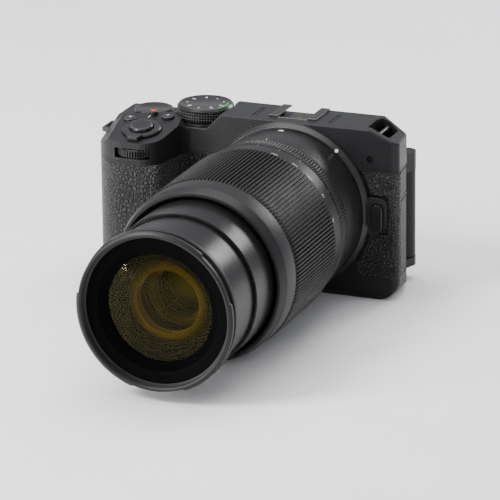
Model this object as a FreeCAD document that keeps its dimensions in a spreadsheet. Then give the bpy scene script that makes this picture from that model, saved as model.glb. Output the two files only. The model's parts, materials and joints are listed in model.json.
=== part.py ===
import FreeCAD, Part
import math
import os
import Sketcher

# An interchangeable-lens camera with an extended telephoto zoom lens, in millimetres.
# The origin is the mouth of the tripod socket, in the middle of the base under the lens axis.
# +Z is up, the lens points along -Y, and +X is on the right of someone who looks at the lens.

SIZES = {
    # Where the lens axis and the mounting flange lie.
    "flange_y": -20.0,
    "axis_z": 37.0,
    # The casing's outline, seen from above.
    "body_left": -79.8,
    "body_right": 48.2,
    "front_y": -16.0,
    "rear_y": 9.3,
    "panel_y": 14.0,
    "grip_front_y": -40.0,
    "grip_corner": 15.0,
    "grip_inner_x": -50.5,
    "grip_root_x": -46.5,
    "side_back_x": 46.6,
    "split_y": -1.0,
    "rear_corner_x": 42.4,
    "step_x": -38.5,
    "wall": 2.2,
    "seam": 0.15,
    # The casing's heights.
    "base_z": 2.4,
    "seam_z": 56.0,
    "lug_z": 62.0,
    "shoulder_z": 66.2,
    "seat_z": 65.8,
    "deck_z": 73.0,
    "deck_left": -30.6,
    "deck_right": 35.0,
    "deck_back_y": 5.5,
    "corner_z": 67.6,
    "grip_top_front_z": 64.3,
    "grip_top_back_z": 70.5,
    "grip_top_back_y": -7.4,
    "bevel_x": -77.0,
    "bevel_y": -48.2,
    "bevel_z": 57.0,
    "bevel_rise": 44.7,
    "bevel_swing": 17.7,
    "bevel_length": 26.0,
    "bevel_width": 60.0,
    "bevel_height": 12.0,
    "ridge_left_y": -18.2,
    "ridge_right_x": -44.0,
    "ridge_right_y": -5.9,
    "grip_tilt": 10.77,
    "skin": 0.8,
    # The two mounts that other makers' parts fit.
    "throat_radius": 27.5,
    "mount_radius": 33.0,
    "filter_radius": 30.6,
    "filter_depth": 3.2,
    "socket_radius": 2.55,
    "socket_depth": 5.5,
    "running_fit": 0.05,
    # The lens, from the flange forwards.
    "barrel_back_radius": 33.6,
    "barrel_radius": 34.6,
    "control_back": 20.0,
    "control_front": 27.2,
    "control_radius": 35.3,
    "zoom_back": 27.6,
    "scale_radius": 34.9,
    "grip_ring_back": 38.0,
    "grip_ring_front": 83.7,
    "grip_ring_base": 35.0,
    "grip_ring_radius": 37.0,
    "zoom_front": 98.0,
    "zoom_opening": 33.7,
    "middle_radius": 32.05,
    "middle_front": 114.6,
    "middle_length": 44.0,
    "front_tube_radius": 30.7,
    "front_tube_length": 62.0,
    "rim_front": 143.0,
    "rim_depth": 6.8,
    "rim_radius": 32.9,
    "glass_radius": 22.0,
    # The controls on the top.
    "shutter_x": -61.0,
    "shutter_y": -28.0,
    "shutter_radius": 4.8,
    "switch_radius": 8.3,
    "iso_x": -54.4,
    "iso_y": -15.2,
    "exposure_x": -69.6,
    "exposure_y": -20.0,
    "movie_x": -61.5,
    "movie_y": -13.9,
    "small_radius": 2.6,
    "movie_radius": 1.8,
    "mode_x": -42.5,
    "mode_y": -2.6,
    "mode_radius": 12.0,
    "mode_top_z": 73.5,
    "mode_shaft_radius": 3.0,
    "lever_radius": 12.5,
    "main_dial_x": -65.7,
    "main_dial_y": -3.6,
    "main_dial_radius": 8.2,
    "sub_dial_x": -61.0,
    "sub_dial_y": -32.6,
    "sub_dial_radius": 8.4,
    "sub_dial_window": 15.2,
    "sub_dial_z": 57.7,
    "sub_dial_height": 3.7,
    "shoe_width": 21.2,
    "shoe_slot": 18.8,
    "shoe_mouth": 13.0,
    "shoe_front_y": -11.4,
    "shoe_length": 16.6,
    "microphone_x": 16.8,
    # The screen on its arm.
    "hinge_x": 40.5,
    "hinge_y": 14.8,
    "hinge_radius": 4.3,
    "arm_bottom_z": 10.0,
    "arm_top_z": 47.5,
    "screen_left": -36.6,
    "screen_right": 35.6,
    "screen_bottom": 6.0,
    "screen_top": 57.0,
    "screen_front_y": 10.4,
    "screen_back_y": 19.2,
    # The controls on the back and the front.
    "selector_x": -60.0,
    "selector_z": 28.0,
    "selector_radius": 10.0,
    "release_x": 39.6,
    "release_z": 36.0,
    # The base.
    "door_left": -75.0,
    "door_hinge_x": -55.2,
    "door_front_y": -33.0,
    "door_back_y": 1.5,
    "door_thickness": 2.1,
}

doc = FreeCAD.newDocument("camera")
sheet = doc.addObject("Spreadsheet::Sheet", "Sizes")


class Size:
    """A number together with the spreadsheet expression that gives it."""

    def __init__(self, value, text):
        self.value = value
        self.text = text

    def __add__(self, other):
        other = as_size(other)
        return Size(self.value + other.value, "(%s + %s)" % (self.text, other.text))

    def __sub__(self, other):
        other = as_size(other)
        return Size(self.value - other.value, "(%s - %s)" % (self.text, other.text))

    def __mul__(self, other):
        other = as_size(other)
        return Size(self.value * other.value, "(%s * %s)" % (self.text, other.text))

    def __neg__(self):
        return Size(-self.value, "(0 - %s)" % self.text)

    def __radd__(self, other):
        return as_size(other) + self

    def __rsub__(self, other):
        return as_size(other) - self


class Sheet:
    """Gives each cell of the spreadsheet as an attribute."""


def as_size(number):
    """A plain number becomes a Size with itself as its expression."""
    return number if isinstance(number, Size) else Size(float(number), "(%.6g)" % number)


def fill_sheet():
    """Writes the driving dimensions into the spreadsheet and returns them by name."""
    cells = Sheet()
    for row, (name, value) in enumerate(SIZES.items(), start=1):
        sheet.set("A%d" % row, name)
        sheet.set("B%d" % row, str(value))
        sheet.setAlias("B%d" % row, name)
        setattr(cells, name, Size(value, "Sizes.%s" % name))
    doc.recompute()
    return cells


dim = fill_sheet()


# ---------------------------------------------------------------- sketches


def bind(item, path, size):
    """Binds a property or a constraint to the expression of a size."""
    item.setExpression(path, as_size(size).text)


def origin_feature(body, role):
    """One of the body's own planes or axes."""
    for feature in body.Origin.OriginFeatures:
        if feature.Role == role:
            return feature
    raise ValueError("no %s in %s" % (role, body.Label))


def new_sketch(body, plane, level):
    """A sketch on one of the body's planes, moved to a level along X, Y or Z."""
    sketch = body.newObject("Sketcher::SketchObject", body.Label + "_sketch")
    sketch.AttachmentSupport = [(origin_feature(body, plane + "_Plane"), "")]
    sketch.MapMode = "FlatFace"
    level = as_size(level)
    bind(sketch, "AttachmentOffset.Base.z", -level if plane == "XZ" else level)
    return sketch


def hold(sketch, kind, places, size):
    """Adds one measured constraint and binds it."""
    size = as_size(size)
    row = sketch.addConstraint(Sketcher.Constraint(kind, *places, size.value))
    bind(sketch, "Constraints[%d]" % row, size)


def hold_point(sketch, geometry, end, x, y):
    """Holds a point of a geometry at measured coordinates."""
    hold(sketch, "DistanceX", (geometry, end), x)
    hold(sketch, "DistanceY", (geometry, end), y)


def draw_circle(sketch, x, y, radius):
    """A circle whose centre and radius are bound."""
    centre = FreeCAD.Vector(as_size(x).value, as_size(y).value, 0)
    circle = sketch.addGeometry(Part.Circle(centre, FreeCAD.Vector(0, 0, 1), as_size(radius).value))
    hold_point(sketch, circle, 3, x, y)
    hold(sketch, "Radius", (circle,), radius)


def corner_round(before, point, after, radius):
    """Where a round of this radius leaves and meets the two sides of a corner, and its arc."""
    inward = (point - before).normalize()
    outward = (after - point).normalize()
    turn = inward.x * outward.y - inward.y * outward.x
    half = 0.5 * math.atan2(abs(turn), inward.dot(outward))
    reach = radius * math.tan(half)
    first = point - inward * reach
    last = point + outward * reach
    side = 1.0 if turn > 0 else -1.0
    centre = first + FreeCAD.Vector(-inward.y, inward.x, 0) * (side * radius)
    start, end = (first, last) if turn > 0 else (last, first)
    angles = [math.atan2(spot.y - centre.y, spot.x - centre.x) for spot in (start, end)]
    if angles[1] < angles[0]:
        angles[1] += 2 * math.pi
    circle = Part.Circle(centre, FreeCAD.Vector(0, 0, 1), radius)
    return first, last, Part.ArcOfCircle(circle, *angles), turn > 0


def draw_outline(sketch, corners):
    """A closed outline through bound corners (x, y) or, where rounded, (x, y, radius)."""
    spots = [FreeCAD.Vector(as_size(c[0]).value, as_size(c[1]).value, 0) for c in corners]
    rounds = []
    for index, corner in enumerate(corners):
        spot = spots[index]
        if len(corner) == 2:
            rounds.append((spot, spot, None, True))
        else:
            following = spots[(index + 1) % len(spots)]
            rounds.append(corner_round(spots[index - 1], spot, following, as_size(corner[2]).value))
    sides = []
    for index, (first, last, arc, left) in enumerate(rounds):
        meets = rounds[(index + 1) % len(rounds)][0]
        sides.append(sketch.addGeometry(Part.LineSegment(last, meets)))
    for index, (first, last, arc, left) in enumerate(rounds):
        before = sides[index - 1]
        after = sides[index]
        corner = corners[index]
        if arc is None:
            sketch.addConstraint(Sketcher.Constraint("Coincident", before, 2, after, 1))
            hold_point(sketch, after, 1, corner[0], corner[1])
            continue
        bend = sketch.addGeometry(arc)
        mark = sketch.addGeometry(Part.Point(spots[index]), True)
        sketch.addConstraint(Sketcher.Constraint("Tangent", before, 2, bend, 1 if left else 2))
        sketch.addConstraint(Sketcher.Constraint("Tangent", after, 1, bend, 2 if left else 1))
        sketch.addConstraint(Sketcher.Constraint("PointOnObject", mark, 1, before))
        sketch.addConstraint(Sketcher.Constraint("PointOnObject", mark, 1, after))
        hold_point(sketch, mark, 1, corner[0], corner[1])
        hold(sketch, "Radius", (bend,), corner[2])


def draw(sketch, shapes):
    """Draws closed shapes: a list is an outline of corners, a tuple is a circle x, y, radius."""
    for shape in shapes:
        if isinstance(shape, tuple):
            draw_circle(sketch, *shape)
        else:
            draw_outline(sketch, shape)


def box(left, right, low, high, radius=None):
    """The corners of a rectangle, all rounded alike where a radius is given."""
    spots = [(left, low), (right, low), (right, high), (left, high)]
    return spots if radius is None else [spot + (radius,) for spot in spots]


# ---------------------------------------------------------------- features


def new_body(name, x=0, y=0, z=0, tilt=0, swing=0):
    """A body with its own place, tipped about X by tilt degrees or turned about Z by swing."""
    body = doc.addObject("PartDesign::Body", name)
    body.Label = name
    body.AllowCompound = True
    turned = FreeCAD.Rotation(FreeCAD.Vector(0, 0, 1), swing)
    tipped = FreeCAD.Rotation(FreeCAD.Vector(1, 0, 0), as_size(tilt).value)
    body.Placement = FreeCAD.Placement(FreeCAD.Vector(0, 0, 0), turned * tipped)
    for axis, size in zip("xyz", (x, y, z)):
        bind(body, "Placement.Base." + axis, size)
    return body


def pad(body, plane, start, end, *shapes):
    """Adds the shapes, drawn on a plane, from one level to a higher one."""
    sketch = new_sketch(body, plane, start)
    draw(sketch, shapes)
    feature = body.newObject("PartDesign::Pad", body.Label + "_pad")
    feature.Profile = sketch
    feature.Reversed = plane == "XZ"
    bind(feature, "Length", as_size(end) - as_size(start))
    return feature


def cut(body, plane, start, end, *shapes):
    """Removes the shapes, drawn on a plane, from one level to a higher one."""
    sketch = new_sketch(body, plane, start)
    draw(sketch, shapes)
    feature = body.newObject("PartDesign::Pocket", body.Label + "_pocket")
    feature.Profile = sketch
    feature.Reversed = plane != "XZ"
    bind(feature, "Length", as_size(end) - as_size(start))
    return feature


def turn(body, axis, *outlines):
    """Turns outlines about the body's Y or Z axis; they are (radius, place along the axis)."""
    sketch = new_sketch(body, "XY" if axis == "Y" else "XZ", 0)
    draw(sketch, outlines)
    feature = body.newObject("PartDesign::Revolution", body.Label + "_turned")
    feature.Profile = sketch
    feature.ReferenceAxis = (origin_feature(body, axis + "_Axis"), [""])
    feature.Angle = 360
    return feature


def drill(body, x, y, z, radius, depth, tilt=0):
    """A round hole that starts at a point and runs up along Z, or tipped about X by tilt."""
    feature = body.newObject("PartDesign::SubtractiveCylinder", body.Label + "_hole")
    feature.AttachmentSupport = [(origin_feature(body, "XY_Plane"), "")]
    feature.MapMode = "FlatFace"
    tipped = FreeCAD.Rotation(FreeCAD.Vector(1, 0, 0), as_size(tilt).value)
    feature.AttachmentOffset = FreeCAD.Placement(FreeCAD.Vector(0, 0, 0), tipped)
    for axis, size in zip("xyz", (x, y, z)):
        bind(feature, "AttachmentOffset.Base." + axis, size)
    bind(feature, "Radius", radius)
    bind(feature, "Height", depth)
    return feature


def shave(body, x, y, z, rise, swing):
    """Removes what lies above a plane from a corner on, that rises towards +X and is turned about Z."""
    feature = body.newObject("PartDesign::SubtractiveBox", body.Label + "_bevel")
    feature.AttachmentSupport = [(origin_feature(body, "XY_Plane"), "")]
    feature.MapMode = "FlatFace"
    tipped = FreeCAD.Rotation(FreeCAD.Vector(0, 1, 0), -as_size(rise).value)
    turned = FreeCAD.Rotation(FreeCAD.Vector(0, 0, 1), as_size(swing).value)
    feature.AttachmentOffset = FreeCAD.Placement(FreeCAD.Vector(0, 0, 0), turned * tipped)
    for axis, size in zip("xyz", (x, y, z)):
        bind(feature, "AttachmentOffset.Base." + axis, size)
    bind(feature, "Length", dim.bevel_length)
    bind(feature, "Width", dim.bevel_width)
    bind(feature, "Height", dim.bevel_height)
    return feature


def around(body, feature, axis, count):
    """Repeats a feature evenly about the body's Y or Z axis."""
    pattern = body.newObject("PartDesign::PolarPattern", body.Label + "_pattern")
    pattern.Originals = [feature]
    pattern.Axis = (origin_feature(body, axis + "_Axis"), [""])
    pattern.Angle = 360
    pattern.Occurrences = count
    body.Tip = pattern
    return pattern


def soften(body, radius, chosen):
    """Rounds the edges of the body so far that the test chooses."""
    doc.recompute()
    base = body.Tip
    names = ["Edge%d" % number for number, edge in enumerate(base.Shape.Edges, start=1) if chosen(edge)]
    fillet = body.newObject("PartDesign::Fillet", body.Label + "_fillet")
    fillet.Base = (base, names)
    bind(fillet, "Radius", radius)
    doc.recompute()
    return fillet


# ---------------------------------------------------------------- the casing


def casing_outline(inset=0.0):
    """The casing from above, moved inwards by an inset."""
    def outer(radius):
        return radius - inset if radius > inset + 0.4 else 0.4

    left = dim.body_left + inset
    return [
        (left, dim.panel_y - inset, outer(8)),
        (left, dim.grip_front_y + inset, outer(dim.grip_corner.value)),
        (dim.grip_inner_x - inset, dim.grip_front_y + inset, outer(9)),
        (dim.grip_root_x - inset, dim.front_y + inset, 5 + inset),
        (dim.body_right - inset, dim.front_y + inset, outer(3)),
        (dim.side_back_x - inset, dim.split_y, outer(2)),
        (dim.rear_corner_x - inset, dim.rear_y - inset, outer(1.5)),
        (dim.step_x - inset, dim.rear_y - inset, 1 + inset),
        (dim.step_x - 3 - inset, dim.panel_y - inset, outer(2)),
    ]


def trim_lower_corners(body):
    """Rounds the casing's two lower edges that run from front to back."""
    low = -5
    right = dim.body_right
    left = dim.body_left
    cut(body, "XZ", -60, 40,
        [(right - 14, low), (right - 14, 0), (right, 0, 9), (right, 14), (right + 4, 14), (right + 4, low)],
        [(left - 4, low), (left - 4, 9), (left, 9), (left, 0, 4.5), (left + 9, 0), (left + 9, low)])


def build_top_cover():
    """The cover over the whole top, with the grip's sloping top and the raised deck."""
    body = new_body("top_cover")
    sky = 90
    pad(body, "XY", dim.seam_z + dim.seam, 80, casing_outline())
    slope = (dim.grip_top_back_z - dim.grip_top_front_z).value
    slope = slope / (dim.grip_top_back_y - dim.grip_front_y).value
    cut(body, "YZ", -90, -44, [
        (dim.grip_front_y - 5, dim.grip_top_front_z - 5 * slope),
        (dim.grip_top_back_y, dim.grip_top_back_z),
        (dim.grip_top_back_y, dim.shoulder_z),
        (dim.panel_y - 5, dim.shoulder_z),
        (dim.panel_y + 1, dim.shoulder_z - 5.5),
        (dim.panel_y + 1, sky),
        (dim.grip_front_y - 5, sky)])
    cut(body, "XZ", -60, 40, [
        (dim.grip_root_x - 3.5, sky),
        (dim.grip_root_x - 3.5, dim.grip_top_back_z),
        (dim.grip_root_x + 0.5, dim.shoulder_z, 2),
        (dim.deck_left - 6.6, dim.shoulder_z, 3),
        (dim.deck_left, dim.deck_z, 2),
        (dim.deck_right, dim.deck_z, 3),
        (dim.body_right + 1, dim.corner_z - 0.4),
        (dim.body_right + 1, sky)])
    # Behind its ridge, which runs at a slant, the grip's top drops to the shoulder.
    cut(body, "XY", dim.shoulder_z, sky, [
        (dim.body_left - 1, dim.ridge_left_y), (dim.ridge_right_x, dim.ridge_right_y),
        (dim.ridge_right_x, dim.panel_y + 1), (dim.body_left - 1, dim.panel_y + 1)])
    # The bevel along the left edge of the grip's top, which narrows towards the back.
    shave(body, dim.bevel_x, dim.bevel_y, dim.bevel_z, dim.bevel_rise, dim.bevel_swing)
    cut(body, "XY", dim.seat_z, sky, (dim.mode_x, dim.mode_y, dim.mode_radius + 1))
    cut(body, "YZ", dim.step_x + 2.4, 60, [
        (dim.deck_back_y - 0.5, dim.deck_z + 1),
        (dim.rear_y + 0.5, dim.seam_z + 4),
        (dim.panel_y + 1, dim.seam_z + 4),
        (dim.panel_y + 1, dim.deck_z + 1)])
    cut(body, "XY", dim.seam_z + 3, sky, [
        (dim.deck_right - 1, dim.rear_y + 1),
        (dim.deck_right - 1, dim.deck_back_y, 2),
        (dim.body_right - 1.2, -1.5, 2),
        (dim.body_right + 0.5, -9),
        (dim.body_right + 4, -9),
        (dim.body_right + 4, dim.rear_y + 1)])
    soften(body, 0.8, lambda edge: edge.BoundBox.ZMin > 72.9 and edge.BoundBox.YMax < -15.9)
    # The room inside.
    cut(body, "XY", dim.seam_z - 1, dim.seam_z + 2.5, casing_outline(dim.wall.value))
    cut(body, "XY", dim.seam_z + 2, dim.seam_z + 5.5,
        box(dim.body_left + 4, dim.grip_inner_x - 3, dim.grip_front_y + 4.5, dim.panel_y - 7, 11),
        box(dim.grip_inner_x - 1, dim.body_right - 4, dim.front_y + 2.6, 2.5))
    cut(body, "XY", dim.seam_z + 5, dim.deck_z - 2.4, box(-27, 31, dim.front_y + 2.6, 2.5))
    cut(body, "XZ", dim.front_y - 2, -5.5, (0, dim.axis_z, dim.mount_radius + 0.2))
    pad(body, "XY", dim.seam_z + 0.4, dim.sub_dial_z - 0.4, box(-66, -56, dim.grip_front_y + 1.5, -28))
    cut_top_openings(body)
    return body


def grip_top_z(y):
    """The height of the grip's sloping top at a distance Y."""
    slope = (dim.grip_top_back_z - dim.grip_top_front_z).value
    slope = slope / (dim.grip_top_back_y - dim.grip_front_y).value
    return dim.grip_top_front_z + (y - dim.grip_front_y) * slope


def cut_top_openings(body):
    """The holes and recesses for everything that sits in the top cover."""
    inner_z = dim.seam_z + 4.5
    tilt = math.radians(dim.grip_tilt.value)
    for radius, depth in ((dim.shutter_radius, 6.5), (dim.switch_radius, 1.2)):
        drill(body, dim.shutter_x, dim.shutter_y + depth * math.sin(tilt),
              grip_top_z(dim.shutter_y) - depth * math.cos(tilt), radius + 0.2, 16, dim.grip_tilt)
    for x, y, radius in ((dim.iso_x, dim.iso_y, dim.small_radius),
                         (dim.exposure_x, dim.exposure_y, dim.small_radius),
                         (dim.movie_x, dim.movie_y, dim.movie_radius)):
        drill(body, x, y, inner_z, radius + 0.2, 16)
    drill(body, dim.mode_x, dim.mode_y, inner_z, dim.mode_shaft_radius + dim.running_fit, 12)
    drill(body, dim.main_dial_x, dim.main_dial_y, dim.shoulder_z - 3.4, dim.main_dial_radius + 0.3, 12)
    drill(body, dim.main_dial_x, dim.main_dial_y, inner_z, 2 + dim.running_fit, 12)
    half = dim.shoe_width * 0.5
    cut(body, "XY", dim.deck_z - 2.9, dim.deck_z + 5,
        box(-half, half, dim.shoe_front_y, dim.shoe_front_y + dim.shoe_length + 3))
    for side in (-1, 1):
        x = dim.microphone_x * side
        cut(body, "XY", dim.deck_z - 1, dim.deck_z + 2, box(x - 1, x + 1, -12.6, -0.6, 0.9))
    cut(body, "XY", dim.deck_z - 8, dim.deck_z + 2, [
        (33.4, -12.2, 0.8), (33.4, -1.2, 1), (35, 2, 1), (38, 2, 1), (43.4, -2.4, 1),
        (43.4, -13.6, 1), (41.6, -13.6, 1)])
    # The slot that the front dial looks out of.
    half = dim.sub_dial_window * 0.5
    cut(body, "XY", dim.sub_dial_z - 0.3, dim.sub_dial_z + dim.sub_dial_height + 0.3,
        box(dim.sub_dial_x - half, dim.sub_dial_x + half, dim.grip_front_y - 1, dim.sub_dial_y))
    cut(body, "XY", dim.sub_dial_z - 0.3, dim.sub_dial_z + dim.sub_dial_height + 0.3,
        (dim.sub_dial_x, dim.sub_dial_y, dim.sub_dial_radius + 0.3))
    drill(body, dim.sub_dial_x, dim.sub_dial_y, dim.sub_dial_z - 1.1, 1.5 + dim.running_fit, 6)
    drill(body, 35.8, dim.front_y + 5, 60.4, 1.5, 12, 90)


def build_front_cover():
    """The front shell: the front wall, the grip's body and the front half of both sides."""
    body = new_body("front_cover")
    low = dim.base_z + dim.seam
    pad(body, "XY", low, dim.seam_z, casing_outline())
    trim_lower_corners(body)
    cut(body, "XY", low - 1, dim.seam_z + 1,
        box(dim.body_left - 5, dim.body_right + 5, dim.split_y, dim.panel_y + 5))
    # The thin recess that the grip's rubber lies in, and the one for the covering by the mount.
    cut(body, "XY", low + 2, dim.seam_z - 0.9, rubber_outline(0))
    cut(body, "XY", 9.6, dim.seam_z - 0.9, covering_band(0))
    cut(body, "XY", low - 1, dim.seam_z + 1, casing_outline(dim.wall.value + 0.9))
    cut(body, "XZ", dim.front_y - 2, dim.front_y + 5, (0, dim.axis_z, dim.mount_radius + 0.2))
    for z in (dim.axis_z + 10, dim.axis_z - 1):
        cut(body, "XZ", dim.front_y - 2, dim.front_y + 5, (-41.2, z, 3.4))
    cut(body, "XZ", dim.front_y - 2, dim.front_y + 5, release_outline(0.25))
    for bottom, top in ((9.4, 42.6), (43.4, 55.4)):
        cut(body, "YZ", dim.body_right - 3.2, dim.body_right + 2, box(-13.2, dim.split_y + 1, bottom, top))
    return body


def rubber_outline(gap):
    """The band round the grip that its rubber fills, seen from above."""
    thickness = dim.skin
    left = dim.body_left
    front = dim.grip_front_y
    inner = dim.grip_inner_x
    root = dim.grip_root_x
    face = dim.front_y
    back = dim.split_y - 0.4
    return [
        (left - 1, back),
        (left - 1, front - 1),
        (inner + 8, front - 1),
        (-37.1, face - 1),
        (-37.1, face + thickness - gap),
        (root - thickness, face + thickness - gap, 5.8),
        (inner - thickness, front + thickness, 8.2),
        (left + thickness, front + thickness, dim.grip_corner - thickness),
        (left + thickness, back),
    ][::-1]


def covering_band(gap):
    """The covering on the other side of the mount, seen from above, round the front corner."""
    depth = dim.skin - gap
    return [
        (dim.body_right, dim.front_y + 2.95 - gap),
        (dim.body_right - depth, dim.front_y + 2.95 - gap),
        (dim.body_right - depth, dim.front_y + depth, 2.3),
        (30 + gap, dim.front_y + depth),
        (30 + gap, dim.front_y),
        (dim.body_right, dim.front_y, 3),
    ]


def release_outline(gap):
    """The lens-release button, seen from the front."""
    x = dim.release_x
    z = dim.release_z
    return box(x - 2.5 - gap, x + 2.5 + gap, z - 5.8 - gap, z + 5.8 + gap, 2.2 + gap)


def build_skins():
    """The rubber round the grip and the covering beside the mount."""
    rubber = new_body("grip_rubber")
    low = dim.base_z + dim.seam + 2.05
    high = dim.seam_z - 0.95
    pad(rubber, "XY", low, high, [
        (dim.body_left, dim.split_y - 0.5),
        (dim.body_left, dim.grip_front_y, dim.grip_corner),
        (dim.grip_inner_x, dim.grip_front_y, 9),
        (dim.grip_root_x, dim.front_y, 5),
        (-37.3, dim.front_y),
        (-37.3, dim.front_y + dim.skin - 0.02),
        (dim.grip_root_x - dim.skin, dim.front_y + dim.skin - 0.02, 5.8),
        (dim.grip_inner_x - dim.skin + 0.02, dim.grip_front_y + dim.skin - 0.02, 8.2),
        (dim.body_left + dim.skin - 0.02, dim.grip_front_y + dim.skin - 0.02,
         dim.grip_corner - dim.skin + 0.02),
        (dim.body_left + dim.skin - 0.02, dim.split_y - 0.5)])
    for z in (dim.axis_z + 10, dim.axis_z - 1):
        cut(rubber, "XZ", dim.front_y - 2, dim.front_y + 5, (-41.2, z, 3.5))
    covering = new_body("side_covering")
    pad(covering, "XY", 9.65, dim.seam_z - 0.95, covering_band(0.04))
    cut(covering, "XZ", dim.front_y - 2, dim.front_y + 2, (0, dim.axis_z, 37.1))
    cut(covering, "XZ", dim.front_y - 2, dim.front_y + 2, box(32, 43.8, 28.2, 45))


def build_rear_cover():
    """The back shell, with the screen's recess, the button panel and the hinge's two blocks."""
    body = new_body("rear_cover")
    low = dim.base_z + dim.seam
    pad(body, "XY", low, dim.seam_z, casing_outline())
    for bottom, top in ((dim.screen_bottom, dim.arm_bottom_z - 0.3), (dim.arm_top_z + 0.3, dim.seam_z - 0.1)):
        pad(body, "XY", bottom, top, [
            (dim.hinge_x - 2.2, dim.rear_y - 2), (dim.hinge_x + 1.9, dim.rear_y - 2),
            (dim.hinge_x + dim.hinge_radius, dim.hinge_y - 1, 1),
            (dim.hinge_x + dim.hinge_radius, dim.hinge_y + dim.hinge_radius, 4.1),
            (dim.hinge_x - dim.hinge_radius + 1, dim.hinge_y + dim.hinge_radius, 3),
            (dim.hinge_x - dim.hinge_radius + 1, dim.rear_y + 1, 0.5)])
    trim_lower_corners(body)
    cut(body, "XY", low - 1, dim.seam_z + 1,
        box(dim.body_left - 5, dim.body_right + 5, dim.grip_front_y - 5, dim.split_y + dim.seam))
    cut(body, "XY", low - 1, dim.seam_z, casing_outline(dim.wall.value))
    for x, z, radius in rear_buttons().values():
        cut(body, "XZ", dim.panel_y - 4, dim.panel_y + 2, (x, z, radius + 0.2))
    cut(body, "XZ", dim.panel_y - 4, dim.panel_y + 2,
        (dim.selector_x, dim.selector_z, dim.selector_radius + 0.2))
    cut(body, "XY", dim.arm_bottom_z - 3, dim.arm_top_z + 3,
        (dim.hinge_x, dim.hinge_y, 1 + dim.running_fit))
    return body


def rear_buttons():
    """The small round buttons on the back: place across, height and radius."""
    return {
        "ael_button": (-47.6, 49.6, 2.8),
        "info_button": (-47.6, 41.6, 2.8),
        "menu_button": (-49.6, 12.4, 2.6),
        "delete_button": (-73.6, 10.4, 2.6),
        "play_button": (-61.4, 10.4, 2.6),
    }


def build_base():
    """The bottom plate, the battery door with its latch, and the tripod socket."""
    body = new_body("base_cover")
    pad(body, "XY", 0, dim.base_z, casing_outline())
    trim_lower_corners(body)
    cut(body, "XY", -1, dim.base_z + 1,
        box(dim.door_left - 0.3, dim.door_hinge_x + 1.6, dim.door_front_y - 0.3, dim.door_back_y + 0.3, 1))
    drill(body, 0, 0, -1, 6.02, 10)
    for x, y in base_screws():
        drill(body, x, y, -1, 1.7, 5)

    door = new_body("battery_door")
    pad(door, "XY", 0.05, dim.door_thickness + 0.05,
        box(dim.door_left, dim.door_hinge_x, dim.door_front_y, dim.door_back_y, 0.8))
    pad(door, "XZ", dim.door_front_y + 2, dim.door_back_y - 2, (dim.door_hinge_x, 1.1, 1.0))
    cut(door, "XY", 0, 1.3, box(-73.6, -69.4, -22, -12))

    latch = new_body("battery_door_latch")
    pad(latch, "XY", 0.1, 1.1, box(-73.3, -69.7, -21.7, -15.3, 0.6))

    bush = new_body("tripod_bush")
    turn(bush, "Z", [
        (dim.socket_radius, 0), (6, 0), (6, 2.6), (7, 2.6), (7, 3.8), (6, 3.8), (6, dim.socket_depth + 1),
        (0, dim.socket_depth + 1), (0, dim.socket_depth), (dim.socket_radius, dim.socket_depth)])


def base_screws():
    """Where the screws of the base are."""
    return ((-16, -11.5), (16, -11.5), (33, 2), (-32, 2), (-77.4 + 8, 8.4))


def build_frame():
    """The frame inside, and what it carries behind the mount."""
    chassis = new_body("chassis")
    pad(chassis, "XZ", -6, -3.6, box(-56, 33, 5, 54))
    pad(chassis, "XY", 3, 51.8, box(-75.6, -55, -30.6, 0.8, 2))
    cut(chassis, "XY", 2, 50.8, box(-74.6, -63.4, -29.6, 0), box(-62.4, -58.6, -29.2, -3.6))
    cut(chassis, "XZ", -8, -2, box(-15.6, 15.6, dim.axis_z - 12, dim.axis_z + 12))
    pad(chassis, "XZ", -17, -5.9,
        (0, dim.axis_z, dim.mount_radius - 0.3), (0, dim.axis_z, dim.throat_radius + 0.5))
    cut(chassis, "XZ", -18, -11.5, (30.2, dim.axis_z, 1.7))
    cut(chassis, "XZ", -18, -13.5, *[(x, z, 0.75) for x, z in mount_screw_places()])
    cut(chassis, "XZ", -8, -3, box(-7.5, 7.5, 3, 7.5))

    sensor = new_body("image_sensor")
    pad(sensor, "XZ", -4, -2.4, box(-15, 15, dim.axis_z - 11.5, dim.axis_z + 11.5))
    board = new_body("main_board")
    pad(board, "XZ", 1, 2.4, box(-44, 40, 8, 52, 2))
    pad(board, "XZ", 2.3, 4.4, box(-8, 8, 24, 40), box(14, 24, 16, 26), box(-30, -20, 30, 44))

    shutter = new_body("shutter_frame")
    pad(shutter, "XZ", -11.6, -8.4, box(-19, 19, dim.axis_z - 16, dim.axis_z + 16, 2))
    cut(shutter, "XZ", -12, -8, box(-12.6, 12.6, dim.axis_z - 8.6, dim.axis_z + 8.6))

    battery = new_body("battery")
    pad(battery, "XY", 3.2, 49.8, box(-74.3, -63.7, -29.3, -0.3, 1))
    card = new_body("memory_card")
    pad(card, "XY", 4, 36, box(-61.6, -59.5, -28.6, -4.6))


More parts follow.
